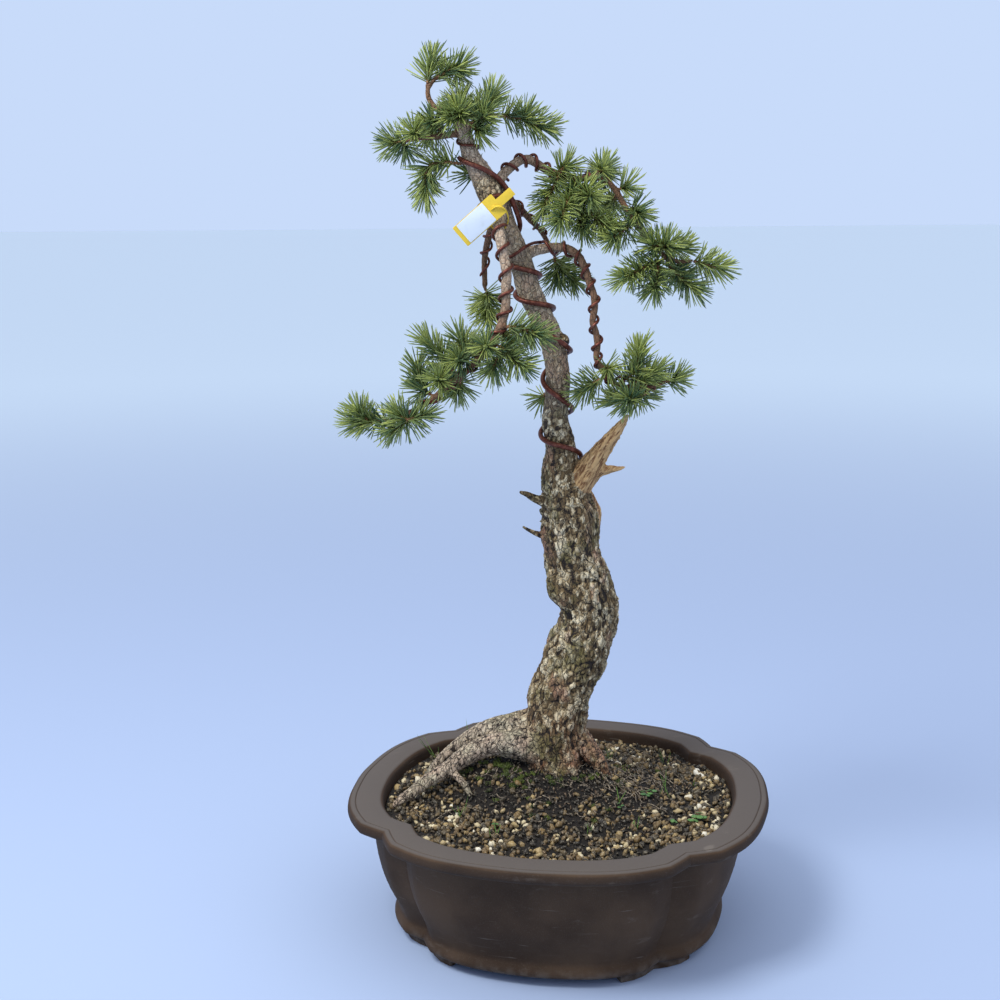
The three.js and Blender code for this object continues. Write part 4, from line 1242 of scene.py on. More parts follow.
@dataclass(frozen=True)
class Scales:
    """Papery scales, as on the bare core of a shoot or on dead roots."""

    name: str
    deep: Colour
    pale: Colour

    def material(self) -> bpy.types.Material:
        """Build the finish.

        Returns:
            The material.
        """
        graph = Graph(self.name)
        scales = graph.cells(graph.place(), 620)
        colour = graph.mix(scales.step(0.2, 0.7), self.pale, self.deep)
        return graph.surface(colour, 0.62 + scales * 0.1, graph.bump(scales, 0.0005, 0.8))


@dataclass(frozen=True)
class Sheet:
    """The plain pale floor, a little deeper near the object, where the lamp lies on it."""

    near: Colour = tint(172, 190, 220)
    far: Colour = tint(222, 240, 255)

    def material(self) -> bpy.types.Material:
        """Build the finish.

        Returns:
            The material.
        """
        graph = Graph("floor_sheet")
        place = graph.place()
        away = graph.node("ShaderNodeVectorMath", {"operation": "LENGTH"}, {0: place}, 1)
        colour = graph.mix(away.step(0.8, 6.0), self.near, self.far)
        return graph.surface(colour, 0.9 + graph.noise(place, 3, 2) * 0.05)


# Pot


@dataclass
class Pot:
    """The pot: four lobes, a flat lip, a bead round the foot, four low feet and two drain holes."""

    radius: float = 225.0
    shoulder: float = 7.0
    notch: float = 12.0
    turn: float = -9.5
    rim: float = 144.0
    foot_height: float = 8.0
    foot_sunk: float = 3.0
    foot_spread: float = 15.0
    foot_share: float = 0.752
    foot_depth: float = 26.0
    drain_radius: float = 12.0
    drain_out: float = 80.0
    around: int = 180
    section: tuple[tuple[float, float, float], ...] = (
        (0.755, 8, 0), (0.785, 11, 3), (0.794, 15.5, 4), (0.782, 20.5, 3), (0.768, 23.5, 3), (0.785, 36, 8),
        (0.822, 52, 10), (0.853, 72, 12), (0.875, 98, 12), (0.883, 131, 2), (0.985, 131, 2), (1.0, 134, 2),
        (1.0, 141, 3), (0.986, 144, 2), (0.967, 144, 0.4), (0.963, 143.0, 0.4), (0.959, 144, 0.4),
        (0.846, 144, 2.5), (0.832, 140, 2), (0.826, 112, 10), (0.8, 70, 14), (0.75, 40, 12), (0.66, 22, 0),
    )

    def reach(self, lobe_angle: np.ndarray) -> np.ndarray:
        """Give the outline's radius at angles from the middle of a lobe, in degrees.

        Args:
            lobe_angle: The angles.

        Returns:
            The radii in millimetres.
        """
        away = np.abs(lobe_angle)
        bulge = self.shoulder * smooth_step(5, 30, away)
        return self.radius + bulge - self.notch * np.maximum(0, (away - 37) / 8)

    def outline(self, turn: np.ndarray) -> np.ndarray:
        """Give the outline's radius at angles round the pot, in radians."""
        lobe = (np.degrees(turn) - self.turn + 45) % 90 - 45
        return self.reach(lobe)

    def rounded_section(self) -> list[tuple[float, float]]:
        """Round the section's corners, each by its own amount.

        Returns:
            Pairs of share of the outline and height.
        """
        points = [Vector((share * self.radius, height)) for share, height, _ in self.section]
        made = [points[0]]
        for i in range(1, len(points) - 1):
            cut = self.section[i][2]
            before, after = points[i - 1] - points[i], points[i + 1] - points[i]
            first = points[i] + before.normalized() * min(cut, before.length * 0.45)
            last = points[i] + after.normalized() * min(cut, after.length * 0.45)
            made += [first, first.lerp(last, 0.5).lerp(points[i], 0.45), last]
        made.append(points[-1])
        return [(point.x / self.radius, point.y) for point in made]

    def build(self) -> Object:
        """Model the pot and join its feet to it.

        Returns:
            The pot.
        """
        pot = primitive(bpy.ops.mesh.primitive_circle_add, "clay_pot", vertices=self.around, radius=1,
                        fill_type="NGON")
        section = self.rounded_section()
        share, height = section[0]
        turn = np.radians(360 / self.around * np.arange(self.around) - 45 + self.turn)
        put_places(pot, polar(share * self.outline(turn + 1e-6) * MM, turn, height * MM))
        with editing(pot):
            for next_share, next_height in section[1:]:
                pull((next_height - height) * MM, next_share / share)
                share, height = next_share, next_height
        settle(pot)
        feet = join([self._foot(lobe) for lobe in range(4)], "feet")
        drains = join([self._drain(side) for side in (-1, 1)], "drains")
        for tool, operation in ((feet, "UNION"), (drains, "DIFFERENCE")):
            modify(pot, "BOOLEAN", object=tool, operation=operation, solver="EXACT")
            bpy.data.meshes.remove(tool.data)
        settle(pot, 32)
        dress(pot, "stoneware", Stoneware().material())
        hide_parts("pot")
        return pot

    def _foot(self, lobe: int) -> Object:
        """Model one low foot under the notch after a lobe.

        Args:
            lobe: Which lobe.

        Returns:
            The foot.
        """
        foot = primitive(bpy.ops.mesh.primitive_cube_add, size=2)
        with editing(foot):
            bpy.ops.mesh.subdivide(number_cuts=5)
        x, y, z = places_of(foot).T
        away = x * self.foot_spread
        turn = np.radians(90 * lobe + 45 + away + self.turn)
        outer = self.reach(45 - np.abs(away)) * self.foot_share
        inner = outer - self.foot_depth + 0.5 * np.abs(away)
        radius = (inner + (outer - inner) * (y + 1) / 2) * MM
        put_places(foot, polar(radius, turn, (z + 1) / 2 * (self.foot_height + self.foot_sunk) * MM))
        settle(foot)
        bevel(foot, 1.4, 50)
        return foot

    def _drain(self, side: int) -> Object:
        """Model the plug that is cut out for a drain hole."""
        return primitive(bpy.ops.mesh.primitive_cylinder_add, vertices=40, radius=self.drain_radius * MM,
                         depth=0.04, location=(side * self.drain_out * MM, 0, 0.015))


# Soil


@dataclass
class Soil:
    """The bed of dark humus with its grains, moss, grass and small weeds."""

    pot: Pot
    skeleton: Skeleton
    edge: float = 130.0
    share: float = 0.829
    mound: tuple[tuple[float, ...], ...] = (
        (-6, 16, 104, 96, 27), (2, 20, 52, 50, 15), (-84, 8, 52, 34, 22),
    )
    rings: int = 46
    spacing: float = 5.4
    crumb_spacing: float = 4.4
    trunk_foot: tuple[float, float] = (-4, 4)
    seed: int = 11
    moss: tuple[tuple[int, ...], ...] = (
        (-66, -6, 12, 8, 24), (-44, -20, 12, 7, 18), (-8, -26, 10, 6, 6), (-78, 34, 16, 10, 16),
        (40, -14, 16, 8, 12), (-120, 6, 14, 8, 14), (60, 50, 30, 20, 16), (-30, -64, 40, 20, 10),
    )
    blades_a_tuft: int = 22
    grass: tuple[tuple[int, int, int, int], ...] = (
        (-138, 103, 42, 3), (-134, 94, 24, 4), (-102, 123, 42, 2), (-84, 126, 36, 1), (-104, -66, 20, 4),
        (-66, -110, 16, 3), (58, 78, 22, 4), (66, -40, 16, 2), (112, -10, 30, 3), (30, -104, 16, 3),
        (150, 24, 16, 2), (120, 96, 24, 3), (-40, 140, 22, 3), (74, -92, 14, 3),
    )
    clover: tuple[tuple[float, ...], ...] = (
        (91, -22, 3, 6.5), (99, -14, 3, 6.5), (146, -62, 4, 8.5), (138, -72, 3, 7.5), (118, -78, 3, 5),
        (-66, -96, 3, 4), (64, -56, 3, 4),
    )

    def height(self, x: float, y: float) -> float:
        """Give the height of the bed, in millimetres."""
        return self.edge + sum(m[4] * hump(x, y, m[:2], m[2:4]) for m in self.mound)

    def lumps(self, x: float, y: float) -> float:
        """Give the unevenness of the bed's surface, in millimetres."""
        place = Vector((x, y, 0))
        return 1.6 * noise.noise(place / 17) + 1.1 * noise.noise(place / 6)

    def top(self, x: float, y: float) -> float:
        """Give the height of the bed with its lumps, in millimetres."""
        return self.height(x, y) + self.lumps(x, y)

    def limit(self, turn: float) -> float:
        """Give how far the bed reaches at an angle, in millimetres."""
        return float(self.pot.outline(np.array(turn))) * self.share - 0.75

    def build(self) -> list[Object]:
        """Model the bed and all that lies and grows on it.

        Returns:
            The bed and the pieces on it.
        """
        ground = [self._bed(), self._grains(), self._crumbs()]
        draw = random.Random(self.seed + 2)
        return [*ground, self._moss(draw), self._grass(draw), self._leaves(draw), self._dead_roots()]

    def _bed(self) -> Object:
        """Model the bed: a disc inset ring by ring, heaped, then extruded down.

        Returns:
            The bed.
        """
        bed = primitive(bpy.ops.mesh.primitive_circle_add, "humus_bed", vertices=180, radius=1,
                        fill_type="NGON")
        with editing(bed):
            for _ in range(self.rings):
                bpy.ops.mesh.inset(thickness=0.0212, use_even_offset=False)
        flat = places_of(bed)
        away = np.hypot(flat[:, 0], flat[:, 1])
        made = []
        for a, r in zip(np.arctan2(flat[:, 1], flat[:, 0]), away):
            reach = self.limit(a) * float(r)
            x, y = reach * math.cos(a), reach * math.sin(a)
            fade = min(1.0, (1 - float(r)) * 12)
            made.append((x, y, self.height(x, y) + self.lumps(x, y) * fade - 1.8 * fade))
        put_places(bed, np.array(made) * MM)
        rim = away > 0.999
        unpick(bed)
        bed.data.vertices.foreach_set("select", rim)
        chosen = [bool(rim[list(edge.vertices)].all()) for edge in bed.data.edges]
        bed.data.edges.foreach_set("select", chosen)
        with editing(bed, None):
            pull(-0.03, 0.94)
            bpy.ops.mesh.edge_face_add()
        settle(bed, 60)
        dress(bed, "soil", Humus().material())
        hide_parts("soil")
        return bed

    @staticmethod
    def _stone(squash: tuple[float, float, float], seed: int) -> Shape:
        """Model one grain of unit size.

        Args:
            squash: Its scale along each axis.
            seed: Which bumps it gets.

        Returns:
            The grain's shape.
        """
        stone = primitive(bpy.ops.mesh.primitive_ico_sphere_add, subdivisions=2, radius=0.5)
        places = places_of(stone)
        for row in places:
            row *= 1 + 0.62 * noise.noise(Vector(row) * 2.2 + Vector((seed * 3.1, 0, 0)))
        put_places(stone, places * np.array(squash))
        modify(stone, "DECIMATE", ratio=0.26)
        return Shape.taken(stone)

    def _spots(self, spacing: float, draw: random.Random) -> list[tuple[float, float]]:
        """Scatter places over the bed, about evenly.

        Args:
            spacing: About how far apart they are, in millimetres.
            draw: The source of random numbers.

        Returns:
            Pairs of x and y that are clear of the wood.
        """
        spots = []
        steps = int(230 / spacing)
        for i in range(-steps, steps + 1):
            for j in range(-steps, steps + 1):
                x = (i + 0.5 * (j % 2) + draw.uniform(-0.42, 0.42)) * spacing
                y = (j * 0.87 + draw.uniform(-0.42, 0.42)) * spacing
                if math.hypot(x, y) > self.limit(math.atan2(y, x)) - 2.2:
                    continue
                if self.skeleton.is_clear(np.array([x, y, self.height(x, y)]), -1.5):
                    spots.append((x, y))
        return spots

    @staticmethod
    def _tumbled(draw: random.Random, size: float, place: Sequence[float],
                 tone: float | None = None) -> Copy:
        """Turn a copy at random.

        Args:
            draw: The source of random numbers.
            size: The copy's size in millimetres.
            place: Its place in millimetres.
            tone: Its tone, drawn where none is given.

        Returns:
            The copy.
        """
        spin, lean, roll = (Matrix.Rotation(draw.uniform(low, high), 3, axis) for low, high, axis in (
            (0, ALL_ROUND, "Z"), (-0.6, 0.6, "X"), (0, ALL_ROUND, "Y")))
        turned = np.array(spin @ lean @ roll) * (size * MM)
        return turned, [c * MM for c in place], draw.random() if tone is None else tone

    @staticmethod
    def _laid(name: str, finish: Grains | Leaf, *groups: tuple[Shape, Sequence[Copy]]) -> Object:
        """Make one piece that lies or grows on the bed.

        Args:
            name: The piece's name.
            finish: Its finish.
            groups: Shapes, each with its copies.

        Returns:
            The piece.
        """
        heap = Heap()
        for shape, copies in groups:
            heap.add(shape, copies)
        piece = heap.piece(name)
        dress(piece, "soil", finish.material())
        return piece

    @staticmethod
    def _upward(draw: random.Random, spread: float) -> Vector:
        """Draw a direction that leans from upright by a spread."""
        return Vector((draw.gauss(0, spread), draw.gauss(0, spread), 1)).normalized()

    def _grains(self) -> Object:
        """Strew the tan, ochre and cream grains, fewer where the humus lies near the trunk.

        Returns:
            The grains, one piece.
        """
        draw = random.Random(self.seed)
        shapes = [self._stone((1, draw.uniform(0.6, 0.9), draw.uniform(0.42, 0.7)), k) for k in range(9)]
        copies: list[list[Copy]] = [[] for _ in shapes]
        for x, y in self._spots(self.spacing, draw):
            near = hump(x, y, self.trunk_foot, (92, 74))
            dark = near + 0.16 + 0.8 * noise.noise(Vector((x, y, 40)) / 30)
            if draw.random() < 0.2 + 0.76 * dark:
                continue
            size = draw.uniform(4.0, 6.6) + (draw.random() ** 3) * 4.0
            lift = self.top(x, y) - 1.2 + size * draw.uniform(0.02, 0.3)
            tone = held(draw.random() - 0.35 * max(dark, 0))
            copies[draw.randrange(len(shapes))].append(self._tumbled(draw, size, (x, y, lift), tone))
        stops = ((0.0, tint(34, 28, 18)), (0.3, tint(78, 62, 30)), (0.52, tint(118, 92, 44)),
                 (0.66, tint(96, 74, 42)), (0.76, tint(168, 142, 88)), (0.88, tint(212, 196, 154)),
                 (1.0, tint(246, 240, 220)))
        return self._laid("soil_grains", Grains("soil_grain", stops, 0.6), *zip(shapes, copies))

    def _crumbs(self) -> Object:
        """Strew dark crumbs and bits of bark between the grains.

        Returns:
            The crumbs, one piece.
        """
        draw = random.Random(self.seed + 1)
        shape = self._stone((1.3, 0.6, 0.45), 31)
        copies = []
        for x, y in self._spots(self.crumb_spacing, draw):
            if draw.random() > 0.3 + 0.7 * hump(x, y, self.trunk_foot, (100, 84)):
                continue
            size = draw.uniform(1.8, 4.6)
            lift = self.top(x, y) + draw.uniform(-0.6, 1.4)
            copies.append(self._tumbled(draw, size, (x, y, lift)))
        stops = ((0.0, tint(14, 11, 9)), (0.65, tint(34, 26, 19)), (0.92, tint(92, 70, 48)),
                 (1.0, tint(160, 138, 108)))
        return self._laid("humus_crumbs", Grains("humus_crumb", stops, 0.85), (shape, copies))

    @staticmethod
    def _blade(bend: float) -> Shape:
        """Model one tapering blade of unit length.

        Args:
            bend: How far its tip leans.

        Returns:
            Its shape.
        """
        blade = tapered(3, 0.5, [(0.25, narrow) for narrow in (0.95, 0.85, 0.7, 0.2)])
        places = places_of(blade)
        places[:, 0] += bend * places[:, 2] ** 2 / 0.02
        put_places(blade, places)
        return Shape.taken(blade)

    def _moss(self, draw: random.Random) -> Object:
        """Grow tufts of moss about the patches' middles.

        Args:
            draw: The source of random numbers.

        Returns:
            The moss, one piece.
        """
        blade = self._blade(0.006)
        copies = []
        for cx, cy, sx, sy, count in self.moss:
            for _ in range(count):
                x, y = draw.gauss(cx, sx), draw.gauss(cy, sy)
                z = self.top(x, y) - 1
                if not self.skeleton.is_clear(np.array([x, y, z]), 0.5):
                    continue
                tuft = draw.random()
                for _ in range(self.blades_a_tuft):
                    spin = pointing(self._upward(draw, 0.5))
                    turned = np.array(spin) @ np.diag([0.8, 0.8, draw.uniform(2.6, 5.0)]) * MM
                    place = ((x + draw.gauss(0, 1.6)) * MM, (y + draw.gauss(0, 1.6)) * MM, z * MM)
                    copies.append((turned, place, held(tuft + draw.uniform(-0.2, 0.2))))
        green = Leaf("moss", tint(44, 46, 20), tint(42, 58, 20), tint(106, 120, 42), 0.7)
        return self._laid("moss_tufts", green, (blade, copies))

    def _grass(self, draw: random.Random) -> Object:
        """Grow single blades of grass where the photograph shows them, and a few more behind.

        Args:
            draw: The source of random numbers.

        Returns:
            The grass, one piece.
        """
        blade = self._blade(0.0035)
        copies = []
        for cx, cy, length, count in self.grass:
            for _ in range(count):
                x, y = draw.gauss(cx, 3), draw.gauss(cy, 3)
                way = self._upward(draw, 0.35)
                spin = np.array(pointing(way) @ Matrix.Rotation(draw.uniform(0, 6), 3, "Z"))
                turned = spin @ np.diag([1.5, 0.7, length * draw.uniform(0.7, 1.1)]) * MM
                copies.append((turned, (x * MM, y * MM, (self.height(x, y) - 1) * MM), draw.random()))
        green = Leaf("grass", tint(150, 160, 90), tint(70, 110, 40), tint(120, 156, 70))
        return self._laid("grass_blades", green, (blade, copies))

    def _leaf(self) -> Shape:
        """Model a round leaf of unit size, cupped and notched.

        Returns:
            Its shape.
        """
        leaf = primitive(bpy.ops.mesh.primitive_circle_add, vertices=12, radius=0.5, fill_type="NGON")
        with editing(leaf):
            bpy.ops.mesh.inset(thickness=0.2)
        places = places_of(leaf)
        places[:, 2] = -0.35 * np.hypot(places[:, 0], places[:, 1]) ** 2
        places[:, 0] *= 1 - 0.25 * (places[:, 1] > 0.3)
        put_places(leaf, places)
        modify(leaf, "SOLIDIFY", thickness=0.05)
        return Shape.taken(leaf, lambda points: 0.3 + 0.5 * np.hypot(points[:, 0], points[:, 1]))

    def _leaves(self, draw: random.Random) -> Object:
        """Lay the round leaves of clover and of a small weed on short stalks.

        Args:
            draw: The source of random numbers.

        Returns:
            The leaves, one piece.
        """
        shape, stalk = self._leaf(), self._blade(0.0)
        groups = []
        for cx, cy, count, size in self.clover:
            foot = Vector((cx, cy, self.height(cx, cy) - 1))
            for k in range(count):
                angle = ALL_ROUND * k / count + draw.uniform(-0.3, 0.3)
                x, y = cx + size * 0.55 * math.cos(angle), cy + size * 0.55 * math.sin(angle)
                lift = self.height(x, y) + draw.uniform(3.5, 6.5)
                tip = Matrix.Rotation(draw.uniform(-0.5, 0.1), 3, "X")
                tilt = Matrix.Rotation(angle - 1.57, 3, "Z") @ tip
                tone = draw.random()
                groups.append((shape, [(np.array(tilt) * size * MM, np.array([x, y, lift]) * MM, tone)]))
                way = Vector((x, y, lift)) - foot
                spin = np.array(pointing(way)) @ np.diag([0.7, 0.7, way.length]) * MM
                groups.append((stalk, [(spin, np.array(foot) * MM, tone)]))
        green = Leaf("clover", tint(84, 118, 66), tint(48, 92, 50), tint(84, 128, 58), 0.5)
        return self._laid("clover_leaves", green, *groups)

    def _dead_roots(self) -> Object:
        """Lay thin dead roots over the soil, most of them to the right of the trunk.

        Returns:
            The roots, one piece.
        """
        draw = random.Random(self.seed + 3)
        routes = [
            [(-150, -60), (-136, -82), (-118, -60), (-98, -56), (-82, -64)],
            [(-172, -66), (-150, -96)],
        ]
        for _ in range(52):
            x, y = draw.gauss(70, 26), draw.gauss(6, 26)
            turn = draw.gauss(-0.9, 0.7)
            route = [(x, y)]
            for _ in range(draw.randrange(3, 7)):
                turn += draw.uniform(-0.5, 0.5)
                x, y = x + 6 * math.cos(turn), y + 6 * math.sin(turn)
                route.append((x, y))
            routes.append(route)
        for _ in range(46):
            x, y = draw.gauss(-10, 60), draw.gauss(-34, 30)
            turn = draw.uniform(0, ALL_ROUND)
            routes.append([(x, y), (x + 7 * math.cos(turn), y + 7 * math.sin(turn)),
                           (x + 12 * math.cos(turn + 0.5), y + 12 * math.sin(turn + 0.5))])
        strands = []
        for route in routes:
            if any(math.hypot(x, y) > self.limit(math.atan2(y, x)) - 4 for x, y in route):
                continue
            thick = draw.uniform(0.3, 0.8)
            stops = [(x, y, self.height(x, y) + 1.6 + draw.uniform(-0.6, 2.4), thick) for x, y in route]
            strands.append(Limb(stops, Wood.ROOT, 0.0, step=3.0).tube(4))
        roots = join(strands, "dead_roots")
        smooth(roots)
        dress(roots, "soil", Scales("dead_root", tint(78, 66, 52), tint(160, 146, 124)).material())
        return roots


# Tree


@dataclass
class Tree:
    """The grown wood: one skin over every limb, with its bark raised and marked."""

    skeleton: Skeleton
    voxel: float = 1.6
    grown: float = 0.12
    side_width: float = 2.4
    relief: float = 0.125
    plain_above: float = 500.0
    bare_above: float = 847.0

    def build(self) -> Object:
        """Model the wood.

        Returns:
            The wood.
        """
        skins = []
        for limb in self.skeleton.wood():
            sides = int(np.clip(round(6.3 * limb.thickest / self.side_width), 10, 64))
            skins.append(limb.tube(sides, self.grown))
        tree = join(skins, "bonsai_wood")
        modify(tree, "REMESH", mode="VOXEL", voxel_size=self.voxel * MM)
        modify(tree, "SMOOTH", factor=0.5, iterations=2)
        self._raise_bark(tree)
        smooth(tree)
        dress(tree, "bark", Bark().material())
        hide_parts("tree")
        return tree

    def _nearest(self, places: np.ndarray) -> tuple[np.ndarray, np.ndarray, np.ndarray]:
        """Find the limb that each place belongs to.

        Args:
            places: Rows in millimetres.

        Returns:
            The limb's number, its ring, and how much nearer it is than the next limb.
        """
        limbs = self.skeleton.wood()
        best, second = np.full((2, len(places)), np.inf)
        owner, ring = np.zeros((2, len(places)), int)
        for number, limb in enumerate(limbs):
            low, high = limb.centres.min(0) - 45, limb.centres.max(0) + 45
            close = np.nonzero(((places > low) & (places < high)).all(1))[0]
            for part in np.array_split(close, max(1, len(close) // 8000)):
                gaps = np.linalg.norm(places[part][:, None] - limb.centres[None], axis=2)
                pick = gaps.argmin(1)
                over = gaps[np.arange(len(part)), pick] - limb.radii[pick]
                wins = over < best[part]
                second[part] = np.where(wins, best[part], np.minimum(second[part], over))
                best[part] = np.where(wins, over, best[part])
                owner[part] = np.where(wins, number, owner[part])
                ring[part] = np.where(wins, pick, ring[part])
        return owner, ring, second - best

    def _raise_bark(self, tree: Object) -> None:
        """Raise plates, flakes and grooves out of the skin, and store what the finish reads.

        Args:
            tree: The wood's smooth skin.
        """
        limbs = self.skeleton.wood()
        places = places_of(tree) / MM
        owner, ring, margin = self._nearest(places)
        outward = np.empty(len(places) * 3)
        tree.data.vertex_normals.foreach_get("vector", outward)
        outward = outward.reshape(-1, 3)
        shift, high, tone, dead, age, root = np.zeros((6, len(places)))
        for k, place in enumerate(places):
            limb = limbs[owner[k]]
            i = ring[k]
            away = place - limb.centres[i]
            run = float(limb.run[i] + away.dot(limb.along[i]))
            side, over = float(away.dot(limb.across[i])), float(away.dot(limb.over[i]))
            radius = float(limb.radii[i])
            calm = 0.3 + 0.7 * held(float(margin[k]) / 4)
            if limb.wood is Wood.DEAD:
                local = Vector((side, over, run * 0.07 + owner[k] * 20))
                groove = noise.noise(local * 0.6) + 0.7 * noise.noise(local * 1.4)
                shift[k] = 0.2 * min(radius, 6) * groove * calm
                high[k], tone[k], dead[k] = 0.6 + 0.5 * groove, 0.5 + 0.7 * groove, 1.0
            else:
                height, tone[k] = self._plates(side, over, run, float(owner[k]), radius)
                strength = self.relief * min(radius, 33) * (0.6 if limb.wood is Wood.ROOT else 1.0)
                if limb.wood is Wood.TRUNK and place[2] > self.plain_above:
                    strength *= 0.75
                shift[k] = strength * (height - 0.55) * calm
                high[k] = height
            is_old = limb.wood in (Wood.ROOT, Wood.STUMP)
            age[k] = 1.0 if is_old else smooth_step(2.0, 16.0, radius)
            if limb.wood is not Wood.TRUNK:
                root[k] = smooth_step(-14, -50, place[0]) * smooth_step(235, 205, place[2])
            elif place[2] > self.bare_above:
                dead[k], tone[k] = 1.0, 0.8
        put_places(tree, (places + outward * shift[:, None]) * MM)
        high = 1 - (1 - high) * np.clip(age * 1.6, 0.25, 1)
        for name, values in (("high", high), ("tone", tone), ("dead", dead), ("age", age), ("root", root)):
            mark(tree, name, values)

    @staticmethod
    def _plates(side: float, over: float, run: float, number: float, radius: float) -> tuple[float, float]:
        """Give the bark's height and tone at a place on a limb.

        Args:
            side: How far across the limb, in millimetres.
            over: How far over it.
            run: How far along it.
            number: Sets one limb's pattern apart from another's.
            radius: The limb's radius.

        Returns:
            Height and tone, both from 0 to about 1.
        """
        size = 0.5 + 0.5 * min(radius / 30, 1)
        bend = 2.6 * noise.noise(Vector((side / 9, over / 9, run / 16 + number * 7)))
        big = Vector((side / 12 + bend * 0.22, over / 12 - bend * 0.22,
                      run / 26 + number * 9 + bend * 0.15)) / size
        gaps, cells = noise.voronoi(big)
        plate = smooth_step(0.02, 0.2, gaps[1] - gaps[0])
        own = noise.cell(cells[0] * 7.3)
        tilt = (big - cells[0]).dot(noise.cell_vector(cells[0] * 3.1) - Vector((0.5, 0.5, 0.5)))
        fine = Vector((side / 4.2, over / 4.2, run / 7 + number * 5)) / size
        fine += Vector((bend, -bend, 0)) * 0.3
        fine_gaps, fine_cells = noise.voronoi(fine)
        flake = smooth_step(0.0, 0.2, fine_gaps[1] - fine_gaps[0])
        fine_own = noise.cell(fine_cells[0] * 5.1)
        height = plate * (0.34 + 0.26 * own + 0.6 * tilt) + flake * (0.12 + 0.22 * fine_own) + 0.06
        return float(held(height, 0, 1.1)), float(0.4 * own + 0.6 * fine_own)


# Wires


class Gauge(Enum):
    """How many flat sides a wire has in the frame, which sets how much a smoothed one has to grow."""

    HEAVY = (5, 2.7)
    MIDDLE = (4, 1.7)
    THIN = (4, 1.4)


@dataclass
class Wires:
    """The anodised training wires, rounded over their faceted routes."""

    gauges: dict[str, Gauge] = field(default_factory=lambda: {
        "wire_trunk": Gauge.HEAVY, "wire_anchor": Gauge.HEAVY, "wire_leader": Gauge.THIN,
        "wire_upper_right": Gauge.MIDDLE, "wire_cascade": Gauge.MIDDLE, "wire_front_branch": Gauge.MIDDLE,
        "wire_back_branch": Gauge.THIN, "wire_back_left": Gauge.THIN,
    })

    def build(self, nodes: dict[str, Object]) -> list[Object]:
        """Round every wire.

        Args:
            nodes: The frame's nodes.

        Returns:
            The wires.
        """
        finish = Copper().material()
        made = []
        for name, gauge in self.gauges.items():
            wire = self._rounded(nodes[name], name.replace("wire_", "copper_"), gauge)
            dress(wire, "bonsai_wire", finish)
            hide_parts(name)
            made.append(wire)
        return made

    def _rounded(self, node: Object, name: str, gauge: Gauge) -> Object:
        """Copy a node's mesh and round it.

        Args:
            node: The faceted wire.
            name: The new piece's name.
            gauge: Its sides and radius.

        Returns:
            The round wire.
        """
        wire = bpy.data.objects.new(name, node.data.copy())
        wire.data.name = name
        bpy.context.scene.collection.objects.link(wire)
        sides, radius = gauge.value
        shrink = (2 + math.cos(2 * math.pi / sides)) / 3
        with editing(wire):
            bpy.ops.mesh.remove_doubles(threshold=1e-5)
            bpy.ops.mesh.normals_make_consistent(inside=False)
            bpy.ops.mesh.tris_convert_to_quads(face_threshold=1.2, shape_threshold=1.2)
            bpy.ops.transform.shrink_fatten(value=radius * (1 / shrink - 1) * 0.96 * MM)
        modify(wire, "SUBSURF", levels=2, render_levels=2)
        smooth(wire)
        return wire


# Tag


